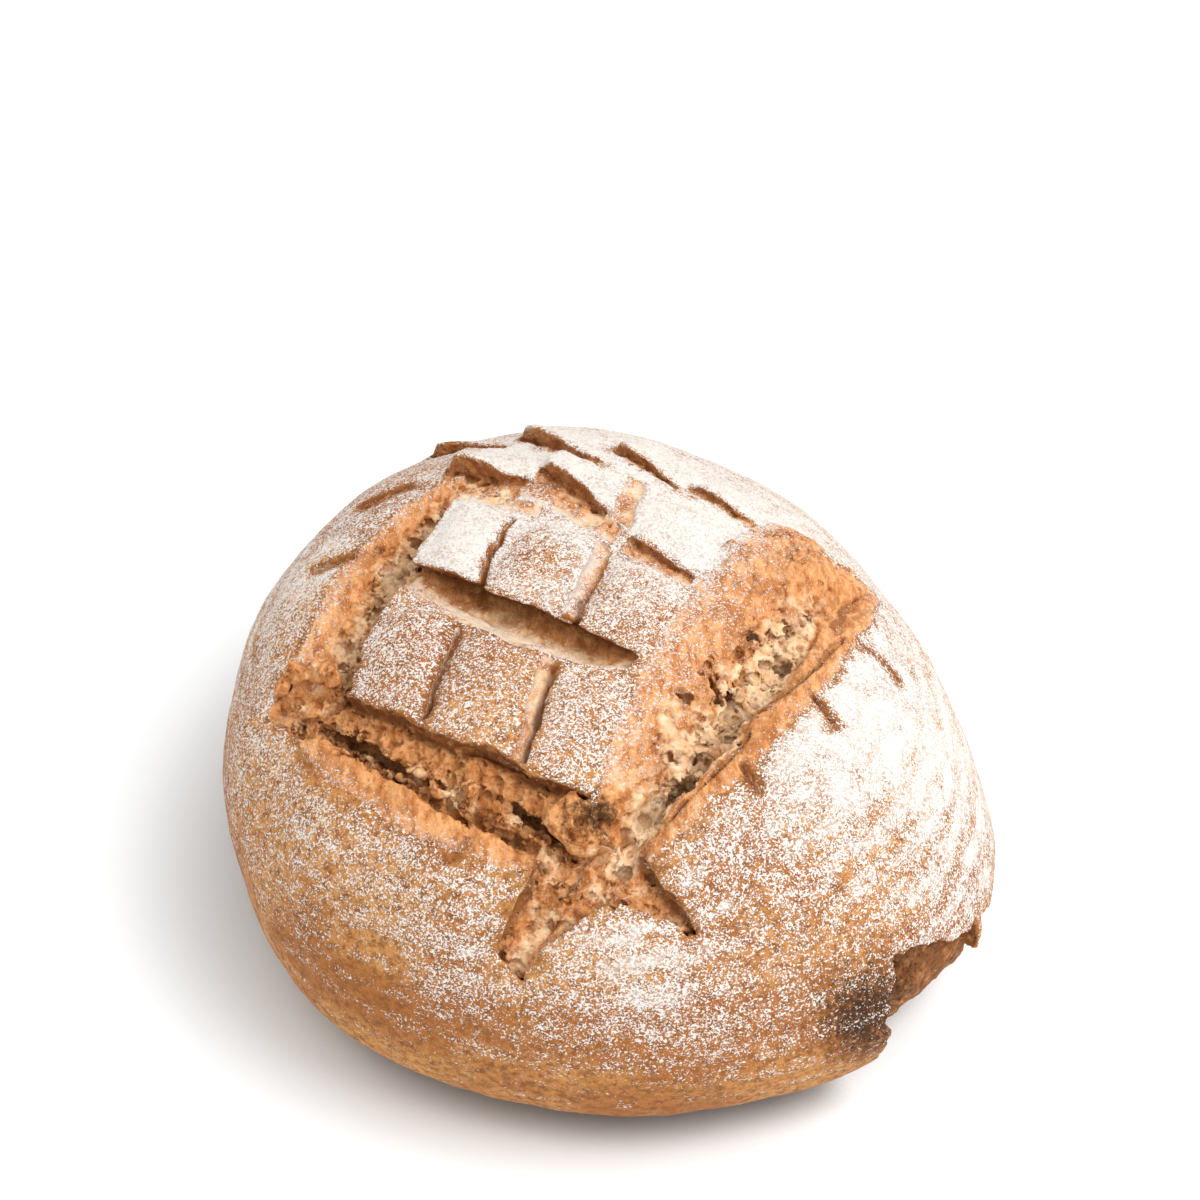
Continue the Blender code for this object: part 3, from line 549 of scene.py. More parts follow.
class Carving:
    """The loaf as a volume, below zero in the bread, with the uncut skin and the height over the dome."""

    def __init__(self, block, shape):
        self.block = block
        x, y = block.plan
        raw = np.stack([dome_field(x, y, z, shape) for z in block.axes[2]], axis=2).astype(np.float32)
        slope = np.gradient(raw, block.step)
        self.over = raw / np.maximum(np.sqrt(slope[0] ** 2 + slope[1] ** 2 + slope[2] ** 2), 1e-4)
        wander = [0.55 * block.noise(13, seed, flat=True) + 0.45 * block.noise(4.5, seed + 1, flat=True)
                  for seed in (31, 33)]
        self.across, self.back = (a + b for a, b in zip(scored(x, y), wander))
        self.first = int(np.searchsorted(block.axes[2], CROWN[0]))
        self.lay_out(shape)
        top = smooth(*CROWN, block.axes[2])[None, None, :]
        self.ground = self.over + 0.55 * block.noise(26, 1)
        self.skin = self.ground - (self.lift[:, :, None] * top).astype(np.float32)
        self.skin += 0.16 * block.noise(8, 2) + 0.06 * block.noise(3.2, 3)
        self.body = self.skin.copy()
        pits = (np.abs(block.noise(5.5, 11, self.first)), np.abs(block.noise(2.6, 12, self.first)))
        self.rough = (0.5 * block.noise(8, 14, self.first) + 0.95 * pits[0] + 0.85 * pits[1]
                      + 0.3 * block.noise(1.4, 13, self.first) - 1.3)

    def lay_out(self, shape):
        """Sheets over the plan: where the tears run, and how far the skin lifts beside them."""
        p, q = self.across, self.back
        lift = np.zeros(p.shape)
        self.cover = np.zeros(p.shape)
        self.celled = np.zeros(p.shape)
        for row, (front, rear) in enumerate(zip(CROSS_CUTS, CELL_BACKS)):
            for column, (a, b) in enumerate(zip(LONG_CUTS, LONG_CUTS[1:])):
                middle = (a + b) / 2 + CUT_LEAN * (q - CROSS_CUTS[0])
                u = np.abs(p - middle) / ((b - a) / 2)
                v = np.abs(q - (front + rear) / 2) / ((rear - front) / 2)
                puff = (1 - np.clip(u, 0, 1) ** 3) * (1 - np.clip(v, 0, 1) ** 3)
                lift = np.maximum(lift, shape.cell_rise / MM * CELL_PUFFS[row] * puff)
                here = (1 - smooth(0.9, 1.15, u)) * (1 - smooth(0.9, 1.25, v))
                self.cover = np.where(here > self.celled, CELL_FLOUR[row][column], self.cover)
                self.celled = np.maximum(self.celled, here)
        for a, b, half, rise in SWELLINGS:
            lift = np.maximum(lift, rise * (1 - smooth(0.1, 1.2, np.hypot(p - a, q - b) / half)))
        self.tears = {}
        self.crumbly = np.zeros(p.shape)
        rim = np.full(p.shape, 9.0)
        for name, tear in TEARS.items():
            s, t, past, width = band(p, q, tear["inner"], tear["outer"])
            self.tears[name] = (s, t, past, width)
            fade = 0.1 if name in STEPS else 0.9
            ends = (1 - smooth(0, 6, past)) * smooth(-0.02, 0.08, t) * (1 - smooth(fade, 1.02, t))
            high, reach = tear["lift"]
            behind = np.maximum(-s * width, 0)
            lift = np.maximum(lift, high * np.where(s < 0.5, np.exp(-(behind / reach) ** 1.5), 0) * ends)
            side = np.maximum(np.maximum(-s, s - 1) * width, past)
            rim = np.minimum(rim, np.where(side > 0, side, rim))
            self.crumbly = np.maximum(self.crumbly, np.where(side < 0.5, ramp(s, tear["rough"]), 0))
        self.slits = []
        for line, half, depth in SLITS:
            gap, t = nearest(p, q, line)
            self.slits.append((gap, t))
            lift = lift - 0.14 * depth * np.exp(-(gap / (half + 2.2)) ** 2)
            rim = np.minimum(rim, gap - half)
        self.lift, self.rim = lift, rim

    def window(self, near):
        """The part of the upper block that covers the marked places in plan."""
        rows, cols = np.flatnonzero(near.any(1)), np.flatnonzero(near.any(0))
        return slice(rows[0], rows[-1] + 1), slice(cols[0], cols[-1] + 1)

    def upper(self, field, box):
        """The crown's share of a volume."""
        return field[box][:, :, self.first:]

    def open_tear(self, name, tear):
        """A tear with its wall, its floor and the crumb that fills it."""
        s, t, past, width = self.tears[name]
        box = self.window((s > -0.7) & (s < 1.35) & (past < 6))
        s, t, past, width = (a[box][:, :, None] for a in (s, t, past, width))
        high, body = self.upper(self.over, box), self.upper(self.body, box)
        rough = self.rough[box]
        low = np.maximum(-high, 0)
        side = np.maximum(-s * width - tear["under"] * low, (s - 1) * width)
        gap = np.maximum(side, past - 0.5) + 0.25 * rough
        floor = floor_height(s, t, tear["rows"])
        ground = self.upper(self.ground, box) - floor + ramp(s, tear["rough"]) * rough
        filling = np.maximum(ground, gap - 2.5)
        np.maximum(body, -gap, out=body)
        np.minimum(body, filling, out=body)

    def open_slit(self, sheets, half, depth, rough=0.1, taper=0.35):
        """A knife cut, widest where it starts."""
        gap, t = sheets
        box = self.window(gap < half + 4)
        gap, t = (a[box][:, :, None] for a in (gap, t))
        high, body = self.upper(self.skin, box), self.upper(self.body, box)
        ease = 1 - taper * t
        wide, deep = half * ease, depth * ease
        cutter = (gap * deep / wide - deep - high) / math.hypot(1, depth / half) + rough * self.rough[box]
        np.maximum(body, -cutter, out=body)

    def open_crevice(self, line, half, depth, slant):
        """A deep gap whose bottom runs back under the crust behind it."""
        gap, t = nearest(self.across, self.back, line)
        run = line[-1] - line[0]
        ahead = (self.back - line[0, 1]) * run[0] - (self.across - line[0, 0]) * run[1]
        gap = np.where((t > 0) & (t < 1), np.copysign(gap, ahead), gap)
        box = self.window(np.abs(gap) < half + 4 + slant * depth)
        gap, t = (a[box][:, :, None] for a in (gap, t))
        high, body = self.upper(self.over, box), self.upper(self.body, box)
        ease = smooth(-0.08, 0.3, t) * (1 - smooth(0.7, 1.08, t))
        aside = np.abs(gap - slant * np.maximum(-high, 0))
        cutter = np.maximum(aside - half * (0.35 + 0.65 * ease), -depth * (0.4 + 0.6 * ease) - high)
        np.maximum(body, -(cutter + 0.7 * self.rough[box]), out=body)

    def ball(self, place, radii, add):
        """Adds a rough lump or takes out a hollow."""
        block = self.block
        reach = max(radii) + 2.5
        low = np.maximum(((place - reach - block.low) / block.step).astype(int), (0, 0, self.first))
        high = ((place + reach - block.low) / block.step).astype(int) + 2
        box = tuple(slice(a, b) for a, b in zip(low, high))
        x, y, z = (block.axes[k][box[k]] - place[k] for k in range(3))
        x, y, z = np.meshgrid(x, y, z, indexing="ij", sparse=True)
        p, q = scored(x, y)
        away = np.sqrt((p / radii[0]) ** 2 + (q / radii[1]) ** 2 + (z / radii[2]) ** 2)
        field = (away - 1) * min(radii)
        body = self.body[box]
        if add:
            rough = self.rough[box[0], box[1], box[2].start - self.first:box[2].stop - self.first]
            np.minimum(body, field + 1.1 * rough, out=body)
        else:
            np.maximum(body, -field, out=body)

    def on_dome(self, across, back, height):
        """The place over the bare dome, from its place on the crown."""
        x, y = across * SCORE_COS - back * SCORE_SIN, across * SCORE_SIN + back * SCORE_COS
        i, j = (int(round((v - self.block.low[k]) / self.block.step)) for k, v in enumerate((x, y)))
        inside = np.flatnonzero(self.over[i, j, self.first:] < 0)
        top = self.block.axes[2][self.first + inside[-1]] if len(inside) else CROWN[0] + 4.0
        return np.array([x, y, top + height])

    def open_burst(self):
        """The pocket under the crust where the side burst."""
        block = self.block
        x, y = (sheet[:, :, None] for sheet in block.plan)
        z = block.axes[2][None, None, :]
        turn = np.degrees(np.arctan2(y, x))
        begin, end = BURST["turns"]
        part = (turn - begin) / (end - begin)
        along = (turn - begin) * math.radians(1) * BURST["radius"]
        under = np.maximum(-self.over - BURST["crust"], 0)
        # both free edges are wavy, and the bread behind them is torn back under the crust
        wave = 0.5 * np.sin(z / 1.3) + 0.6 * np.sin(z / 3.1 + 1)
        front = -along + (wave + 0.42 * np.maximum(z - 48, 0)) - np.minimum(under * 1.6, 7)
        ceiling = z - ramp(part, ((0, BURST["top"][0]), (1, BURST["top"][1]))) - np.minimum(under * 1.2, 5)
        ceiling = ceiling + 0.9 * np.sin(along / 4) + 0.4 * np.sin(along / 1.4)
        depth = BURST["depth"] * (1 - 0.93 * np.clip(part, 0, 1) ** 1.3) * (1 - smooth(0.85, 1.25, part))
        floor = -depth - self.over + 0.5 * block.noise(6, 21) + 0.25 * block.noise(2.2, 22)
        strip = 1.1 + 0.4 * np.sin(z / 2.3) - np.abs(along - BURST["strip"] - 0.3 * (z - 44))
        strip = np.minimum(strip, z - BURST["top"][1])
        cutter = np.maximum(np.maximum(floor, front), np.maximum(ceiling, strip))
        np.maximum(self.body, np.where(part > 1.3, -9.0, -cutter), out=self.body)

    def pores(self):
        """Small bubbles all over the torn crumb."""
        rng = np.random.default_rng(5)
        block = self.block
        body, skin = self.body[:, :, self.first:], self.skin[:, :, self.first:]
        rim = np.argwhere((np.abs(body) < 0.5 * block.step) & (skin < -1.6))
        keep = np.zeros(len(rim))
        for name, tear in TEARS.items():
            s, t, past, width = (a[rim[:, 0], rim[:, 1]] for a in self.tears[name])
            open_crumb = ramp(s, tear["rough"]) * (0.15 + ramp(s, tear["pale"]))
            keep = np.maximum(keep, np.where((s > -0.1) & (s < 1.0) & (past < 2), open_crumb, 0))
        chosen = rim[rng.random(len(rim)) < keep * 0.06 * block.step ** 2]
        for i, j, k in chosen:
            place = block.low + np.array([i, j, k + self.first]) * block.step
            place = place + rng.normal(0, 0.5, 3)
            radius = min(0.45 + rng.gamma(1.2, 0.5), 3.0)
            self.ball(place, radius * rng.uniform(0.8, 1.5, 3), add=False)


def carve(block, shape):
    """The whole loaf, from its tears to its flat base."""
    loaf = Carving(block, shape)
    for name, tear in TEARS.items():
        loaf.open_tear(name, tear)
    for across, back, height, *radii in LUMPS:
        loaf.ball(loaf.on_dome(across, back, height), radii, add=True)
    for line, half, depth, slant in CREVICES:
        loaf.open_crevice(line, half, depth, slant)
    for sheets, (_, half, depth) in zip(loaf.slits, SLITS):
        loaf.open_slit(sheets, half, depth)
    for across, back, height, radius in HOLLOWS:
        loaf.ball(loaf.on_dome(across, back, height), (radius, radius * 1.15, radius * 1.1), add=False)
    loaf.pores()
    loaf.open_burst()
    np.maximum(loaf.body, -block.axes[2][None, None, :], out=loaf.body)
    return loaf


# ---------------------------------------------------------------- meshes

def deselect_all():
    """Nothing selected."""
    for thing in bpy.context.selected_objects:
        thing.select_set(False)


def link(name, data):
    """A new object in the scene, selected alone."""
    thing = bpy.data.objects.new(name, data)
    bpy.context.scene.collection.objects.link(thing)
    deselect_all()
    thing.select_set(True)
    bpy.context.view_layer.objects.active = thing
    return thing


def surface(block, field):
    """Points and four-cornered faces of the bread's surface."""
    grid = openvdb.FloatGrid(background=9.0)
    grid.copyFromArray(np.ascontiguousarray(field, dtype=np.float32))
    points, _, quads = grid.convertToPolygons(isovalue=0.0, adaptivity=0.0)
    return points * block.step + block.low, quads.astype(np.int64)


def keep_largest(points, faces):
    """Drops loose specks of crumb that touch nothing."""
    edges = np.concatenate([faces[:, (0, 1)], faces[:, (1, 2)], faces[:, (2, 3)]])
    group = np.arange(len(points))
    while True:
        low = np.minimum(group[edges[:, 0]], group[edges[:, 1]])
        before = group.copy()
        np.minimum.at(group, edges[:, 0], low)
        np.minimum.at(group, edges[:, 1], low)
        group = group[group]
        if (group == before).all():
            break
    kept = faces[group[faces[:, 0]] == np.bincount(group).argmax()]
    used, kept = np.unique(kept, return_inverse=True)
    return points[used], kept.reshape(-1, 4)


def refine(points, faces, fine):
    """Cuts the chosen faces into four; their neighbours take in the new points on shared edges."""
    ends = np.stack([faces, np.roll(faces, -1, axis=1)], axis=2)
    key = ends.min(2) * len(points) + ends.max(2)
    cut = np.unique(key[fine])
    spot = np.minimum(np.searchsorted(cut, key), len(cut) - 1)
    middle = np.where(cut[spot] == key, len(points) + spot, -1)
    halves = (points[cut // len(points)] + points[cut % len(points)]) / 2
    centres = points[faces[fine]].mean(1)
    heart = len(points) + len(cut) + np.arange(len(centres))
    small = [np.stack([faces[fine, k], middle[fine, k], heart, middle[fine, k - 1]], axis=1)
             for k in range(4)]
    rest = np.empty((len(faces) - len(centres), 8), np.int64)
    rest[:, 0::2], rest[:, 1::2] = faces[~fine], middle[~fine]
    small = np.concatenate(small)
    corners = np.concatenate([small.ravel(), rest[rest >= 0]])
    sizes = np.concatenate([np.full(len(small), 4), (rest >= 0).sum(1)])
    return np.concatenate([points, halves, centres]), corners, sizes


def read(items, name, size=1, kind=np.float32):
    """A value of every item, as rows where it has more than one number."""
    values = np.empty(len(items) * size, kind)
    items.foreach_get(name, values)
    return values.reshape(-1, size) if size > 1 else values


def mesh_points(data):
    """The points of a mesh, in millimetres."""
    return read(data.vertices, "co", 3).astype(float) / MM


def set_points(data, points):
    """Puts the points of a mesh where they are given in millimetres."""
    data.vertices.foreach_set("co", (points * MM).astype(np.float32).ravel())


def store(data, name, values):
    """Keeps a value for every point of a mesh."""
    layer = data.attributes.new(name, "FLOAT", "POINT")
    layer.data.foreach_set("value", values.astype(np.float32))


def mesh_from(name, points, corners, sizes):
    """A mesh from points, the corners of its faces one after another, and how many each face has."""
    data = bpy.data.meshes.new(name)
    data.vertices.add(len(points))
    set_points(data, points)
    data.loops.add(len(corners))
    data.loops.foreach_set("vertex_index", corners.astype(np.int32))
    data.polygons.add(len(sizes))
    data.polygons.foreach_set("loop_start", (np.cumsum(sizes) - sizes).astype(np.int32))
    data.update(calc_edges=True)
    data.validate()
    return data


def crumb_share(loaf, points):
    """How rough the crumb is at the points, and nothing on the skin."""
    skin = loaf.block.sample(loaf.skin, points)
    share = loaf.block.sample_plan(loaf.crumbly, points) * smooth(0.3, 1.4, -skin)
    share = np.maximum(share, 0.9 * smooth(0.8, 2.0, skin))
    return np.where(points[:, 2] > CROWN[0] + 1, share, in_burst(points, -skin))


def in_burst(points, below):
    """0.5 on the torn faces of the burst and nothing elsewhere."""
    x, y, z = points.T
    turn = np.degrees(np.arctan2(y, x))
    begin, end = BURST["turns"]
    near = (z < BURST["top"][0] + 3) & (turn > begin - 2) & (turn < end + 12) & (z > 2)
    return np.where(near, 0.5 * smooth(0.8, 1.6, below), 0)


def press_bubbles(data, loaf):
    """Presses small round bubbles and a fine grain into the crumb."""
    points = mesh_points(data)
    slopes = read(data.vertex_normals, "vector", 3)
    share = crumb_share(loaf, points)
    sunk_shade = np.zeros(len(points))
    for i in np.flatnonzero(share > CRUMB_FROM):
        place, up, here = Vector(points[i]), Vector(slopes[i]), share[i]
        deep = 0.0
        for size in BUBBLES:
            bent = place + noise.noise_vector(place / (0.8 * size)) * (0.5 * size)
            seed = noise.voronoi(bent / size)[1][0]
            reach = size * here * (0.12 + 0.46 * (0.5 + 0.5 * noise.cell(seed * 31.7)))
            away = seed * size - bent
            high = away.dot(up)
            hollow = reach ** 2 - away.length_squared + high ** 2
            if hollow > 0 and abs(high) < reach:
                deep = max(deep, min(math.sqrt(hollow) - high, reach))
        sunk_shade[i] = deep
        points[i] -= up * (deep + 0.35 * min(here, 1) * noise.fractal(place / 1.4, 0.9, 2.1, 3))
    set_points(data, points)
    data.update()
    # how deep each bubble sinks; the crust's material paints shade there
    store(data, "sunk_shade", sunk_shade)


def blobs(points, patches):
    """Sum of soft round patches at the points."""
    total = np.zeros(len(points))
    for x, y, z, reach, change in patches:
        away = ((points - (x, y, z)) ** 2).sum(1) / reach ** 2
        total += change * np.exp(-away)
    return total


def paint(data, loaf):
    """Stores on every point how torn, pale, toasted, floured and burnt the bread is there, and masks for the
    shade painted into its crumb.
    """
    points = mesh_points(data)
    x, y, z = points.T
    block = loaf.block
    off = np.abs(block.sample(loaf.skin, points))
    low = np.maximum(-block.sample(loaf.over, points), 0)
    high = z > CROWN[0] + 4
    torn = smooth(0.25, 1.0, off)
    pale = np.full(len(points), 0.3)
    dust = np.full(len(points), 0.15)
    wall = np.zeros(len(points))
    for name, tear in TEARS.items():
        s, t, past, width = (block.sample_plan(sheet, points) for sheet in loaf.tears[name])
        inner = -s * width - tear["under"] * low
        side = np.maximum(np.maximum(inner, (s - 1) * width), past - 0.5)
        inside = high & (side < 2)
        torn = np.where(high, np.maximum(torn, 1 - smooth(-2.4, 1.4, side)), torn)
        pale = np.where(inside, ramp(s, tear["pale"]), pale)
        dust = np.where(inside, ramp(s, tear["flour"]), dust)
        upright = tear["wall"] * (1 - smooth(0.6, 3.0, np.abs(inner))) * smooth(0.3, 1.2, low + off)
        wall = np.where(inside, np.maximum(wall, upright), wall)
    for (gap, _), (_, half, _) in zip(loaf.slits, SLITS):
        inside = high & (block.sample_plan(gap, points) < half + 0.6)
        wall = np.where(inside, np.maximum(wall, 0.65 * smooth(0.2, 1.0, off)), wall)
    across, back = (block.sample_plan(sheet, points) for sheet in (loaf.across, loaf.back))
    for p, q, reach, change in PALE_PATCHES:
        pale = pale + change * np.exp(-((across - p) ** 2 + (back - q) ** 2) / reach ** 2)
    cavity = in_burst(points, off) > 0.1
    torn = np.where(cavity, 1, torn)
    pale = np.where(cavity, -0.4, pale)
    dust = np.where(cavity, -0.3, dust)
    wall = np.where(cavity, 0.85, wall)
    burnt = np.clip(blobs(points, BURNT_PATCHES) + 0.22 * cavity, 0, 1)
    rim = np.where(high, 1 - smooth(0.1, 1.6, block.sample_plan(loaf.rim, points)), 0)
    celled, cover = (block.sample_plan(sheet, points) for sheet in (loaf.celled, loaf.cover))
    flour = 0.52 + 0.0016 * (x + 0.5 * y + 20) + 0.0015 * (z - 70)
    flour = flour + (cover - flour) * np.where(high, celled, 0) + blobs(points, FLOUR_PATCHES)
    flour = np.clip(flour, 0.05, 1.0) * smooth(26, 70, z + 0.08 * x)
    flour = flour - rim * (0.6 - 0.45 * np.where(high, cover, 0))
    flour = flour + (dust - flour) * torn - (0.15 + 0.8 * torn) * burnt
    upper = loaf.first * block.step + block.low[2]
    lowered = points - (0, 0, upper - block.low[2])
    # the crumb's roughness: its crests are toasted and its pits get painted shade
    pit = np.where(z > upper, block.sample(loaf.rough, lowered), 0)
    ring_x, ring_y, ring_z = RINGS["middle"]
    marks = {
        "torn": torn, "pale": pale, "flour": flour, "wall": wall, "rim": rim, "pit": pit,
        "burnt": burnt, "baked": np.exp(-((z - 58) / 12) ** 2) * (0.2 + blobs(points, BAKED_PATCHES)),
        "ring": RINGS["radius"] * np.arctan2(np.hypot(x - ring_x, y - ring_y), np.maximum(z - ring_z, 1)),
        # how deep under the bare dome, a mask for painted shade
        "deep": np.clip(low / 16, 0, 1),
    }
    for name, values in marks.items():
        store(data, name, values)


# ---------------------------------------------------------------- materials

class Nodes:
    """Short hand for building a material's nodes."""

    def __init__(self, tree):
        self.tree = tree

    def add(self, kind, inputs=None, **settings):
        node = self.tree.nodes.new(kind)
        for name, value in settings.items():
            setattr(node, name, value)
        for key, value in (inputs or {}).items():
            self.feed(node.inputs[key], value)
        return node

    def feed(self, socket, value):
        if isinstance(value, bpy.types.NodeSocket):
            self.tree.links.new(value, socket)
        else:
            socket.default_value = value

    def math(self, operation, a, b=0.0):
        return self.add("ShaderNodeMath", {0: a, 1: b}, operation=operation).outputs[0]

    def plus(self, first, *more):
        for value in more:
            first = self.math("ADD", first, value)
        return first

    def times(self, a, b):
        return self.math("MULTIPLY", a, b)

    def ease(self, value, low, high, start=0.0, end=1.0):
        """Eases from start to end while the value runs from low to high."""
        return self.add("ShaderNodeMapRange", {0: value, 1: low, 2: high, 3: start, 4: end},
                        interpolation_type="SMOOTHSTEP").outputs[0]

    def blend(self, share, a, b):
        return self.add("ShaderNodeMix", {0: share, 6: a, 7: b}, data_type="RGBA").outputs[2]

    def lay(self, base, colour, value, *span):
        """Lays a colour over another as a value eases through the span."""
        return self.blend(self.ease(value, *span), base, colour)

    def noise(self, place, size, detail=3.0, roughness=0.5, distortion=0.0):
        node = self.add("ShaderNodeTexNoise", {"Vector": place, "Scale": 1 / (size * MM), "Detail": detail,
                                               "Roughness": roughness, "Distortion": distortion})
        return node.outputs["Fac"]

    def swing(self, place, size, reach, detail=3.0, roughness=0.5):
        """Noise that swings evenly to both sides of nothing."""
        return self.times(self.math("SUBTRACT", self.noise(place, size, detail, roughness), 0.5), reach)

    def mark(self, name):
        return self.add("ShaderNodeAttribute", attribute_name=name).outputs["Fac"]


def new_material(name):
    """A material, its shader and a short hand for its nodes."""
    material = bpy.data.materials.new(name)
    material.use_nodes = True
    return material, material.node_tree.nodes["Principled BSDF"], Nodes(material.node_tree)


def crust_material(tint):
    """Skin, torn crust and crumb, toasted and burnt places, and the flour on them, with shade painted into
    the crumb.
    """
    material, shader, n = new_material("crust")
    place = n.add("ShaderNodeTexCoord").outputs["Object"]
    torn, pale, flour, wall, rim, pit = (n.mark(k) for k in ("torn", "pale", "flour", "wall", "rim", "pit"))
    burnt, ring, deep, sunk_shade, baked = (n.mark(k) for k in ("burnt", "ring", "deep", "sunk_shade", "baked"))

    # baked skin, in soft patches from tan to brown, with dark freckles and brown along the cuts
    browned = n.plus(n.noise(place, 38, 4, 0.6), n.times(baked, 0.35))
    skin = n.lay(tint.skin_light, tint.skin_dark, browned, 0.35, 0.65)
    skin = n.lay(skin, tint.skin_freckle, n.noise(place, 2.6, 4, 0.7), 0.38, 0.7)
    skin = n.lay(skin, tint.skin_freckle, n.noise(place, 0.8, 2, 0.6), 0.5, 0.72, 0.0, 0.6)
    skin = n.blend(n.times(rim, 0.6), skin, tint.rim)

    # torn surface: stretched orange crust to pale crumb, toasted on its crests, with painted shade at the
    # bottoms of its bubbles and deep under the bare dome
    strands = n.add("ShaderNodeMapping", {"Vector": place, "Rotation": (0, 0, -SCORE_TURN),
                                          "Scale": (1, 0.4, 1)}).outputs[0]
    streak = n.noise(strands, 3.2, 6, 0.75, 0.4)
    stretched = n.lay(tint.torn_light, tint.torn_dark, streak, 0.35, 0.66)
    crumb = n.lay(tint.crumb_light, tint.crumb_dark, streak, 0.3, 0.7)
    tone = n.plus(pale, n.swing(place, 6.0, 1.3, 4, 0.65), n.times(pit, 0.1))
    opened = n.lay(stretched, crumb, tone, 0.28, 0.66)
    crests = n.plus(pit, n.swing(place, 1.6, 1.8, 3))
    opened = n.lay(opened, tint.crest, crests, -1.5, -0.4, 0.55, 0.0)
    # painted shade: darker at the bottoms of the bubbles and where they sink
    opened = n.lay(opened, tint.pit, pit, 0.6, 2.6, 0.0, 0.3)
    opened = n.lay(opened, tint.pit, sunk_shade, 0.4, 2.0, 0.0, 0.28)
    # painted shade: darker where the crumb lies deep under the bare dome
    opened = n.lay(opened, tint.deep, deep, 0.35, 1.0, 0.0, 0.6)
    toasted = n.blend(n.noise(place, 2.4, 4, 0.75), tint.toast_dark, tint.toast_light)
    toast = n.times(wall, n.ease(n.swing(place, 3.5, 1.0, 3), -0.35, 0.05))
    opened = n.blend(toast, opened, toasted)

    # the edge between skin and torn surface is ragged
    border = n.plus(torn, n.plus(n.swing(place, 5.0, 1.1), n.swing(place, 1.3, 0.8)))
    opening = n.ease(border, 0.42, 0.58)
    base = n.blend(opening, skin, opened)

    # flour: grains that lie thicker in the basket's rings, run down the flanks and thin out in patches
    level = n.add("ShaderNodeVectorMath", {0: place, 1: (0.22, 0.22, 1.0)}, operation="MULTIPLY").outputs[0]
    streaks = n.times(n.swing(level, 2.4, 0.9, 5, 0.7), n.ease(ring, 62.0, 100.0))
    turns = n.times(n.plus(ring, n.swing(place, 22, 14.0, 3)), 2 * math.pi / RINGS["spacing"])
    lines = n.times(n.math("SINE", turns), n.ease(n.noise(place, 30, 3), 0.35, 0.65, 0.02, 0.15))
    ringed = n.times(lines, n.ease(ring, 70.0, 110.0))
    drift = n.plus(streaks, ringed, n.swing(place, 8.0, 1.1, 7, 0.75))
    cover = n.plus(flour, n.times(drift, n.ease(opening, 0, 1, 1.0, 0.5)))
    grains = []
    for size, part in FLOUR_CELLS:
        cells = n.add("ShaderNodeTexVoronoi", {"Vector": place, "Scale": 1 / (size * MM), "Randomness": 1.0})
        grey = n.add("ShaderNodeSeparateColor", {0: cells.outputs["Color"]}).outputs[0]
        grains.append(n.times(grey, part))
    gaps = n.ease(n.plus(*grains), 0.05, 0.85, 0.1, 1.1)
    loose = n.plus(n.math("SUBTRACT", cover, gaps), n.swing(place, 1.1, 0.35, 2, 0.7))
    white = n.ease(loose, -0.14, 0.14)
    base = n.lay(base, tint.flour, cover, 0.6, 1.12, 0.0, 0.8)
    base = n.blend(white, base, tint.flour)

    # burnt spots, dark between the grains of flour
    char = n.ease(n.plus(burnt, n.swing(place, 1.8, 1.6, 4, 0.7)), 0.25, 0.95, 0.0, 0.92)
    bare = n.math("SUBTRACT", 1.0, n.times(white, 0.9))
    base = n.blend(n.times(char, bare), base, tint.char)
    n.feed(shader.inputs["Base Color"], base)
    n.feed(shader.inputs["Roughness"], n.ease(white, 0.0, 1.0, 0.62, 0.95))
    shader.inputs["Specular IOR Level"].default_value = 0.1

    # relief finer than the mesh
    crinkle = n.times(n.noise(place, 1.6, 5, 0.7), n.ease(opening, 0, 1, 0.25, 1.2))
    bump = n.add("ShaderNodeBump", {"Height": n.plus(crinkle, n.times(white, 0.35)), "Distance": 0.9 * MM,
                                    "Strength": 0.8})
    n.feed(shader.inputs["Normal"], bump.outputs[0])
    return material


def flour_material(tint):
    """Plain flour for the loose grains."""
    material, shader, _ = new_material("flour")
    shader.inputs["Base Color"].default_value = tint.flour
    shader.inputs["Roughness"].default_value = 0.95
    shader.inputs["Specular IOR Level"].default_value = 0.2
    return material


def floor_material(studio):
    """A pale floor with the loaf's shadow painted into its colour: softly on its dark side, and darkly under
    its foot.
    """
    material, shader, n = new_material("floor")
    lit_side = n.add("ShaderNodeCombineXYZ", dict(enumerate(studio.shade_side))).outputs[0]
    aside = n.add("ShaderNodeAmbientOcclusion", {"Distance": studio.shade_reach, "Normal": lit_side},
                  samples=SHADE_SAMPLES).outputs["AO"]
    under = n.add("ShaderNodeAmbientOcclusion", {"Distance": studio.contact_reach},
                  samples=SHADE_SAMPLES).outputs["AO"]
    open_share = n.times(n.ease(aside, 0.0, 0.76), n.ease(under, 0.1, 0.8))
    # painted shadow: the floor darkens towards its shade colour where the loaf closes it in
    n.feed(shader.inputs["Base Color"], n.blend(open_share, FLOOR_SHADE, studio.floor))
    shader.inputs["Roughness"].default_value = 0.9
    return material


# ---------------------------------------------------------------- pieces

def show_as_loaf(piece):
    """The piece stands in for the loaf's solid."""
    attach(piece, "root")
    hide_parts("loaf")


def model_grain():
    """One crumb of flour, four-sided, as points about its middle and corner numbers."""
    deselect_all()
    bpy.ops.mesh.primitive_cone_add(vertices=3, radius1=1.0, depth=1.3, location=(0, 0, 0))
    thing = bpy.context.object
    bpy.ops.object.mode_set(mode="EDIT")
    bpy.ops.mesh.select_all(action="SELECT")
    bpy.ops.transform.resize(value=(1.0, 0.8, 0.75))
    bpy.ops.mesh.quads_convert_to_tris()
    bpy.ops.object.mode_set(mode="OBJECT")
    points = np.array([v.co[:] for v in thing.data.vertices])
    corners = np.array([f.vertices[:] for f in thing.data.polygons])
    data = thing.data
    bpy.data.objects.remove(thing)
    bpy.data.meshes.remove(data)
    return points, corners


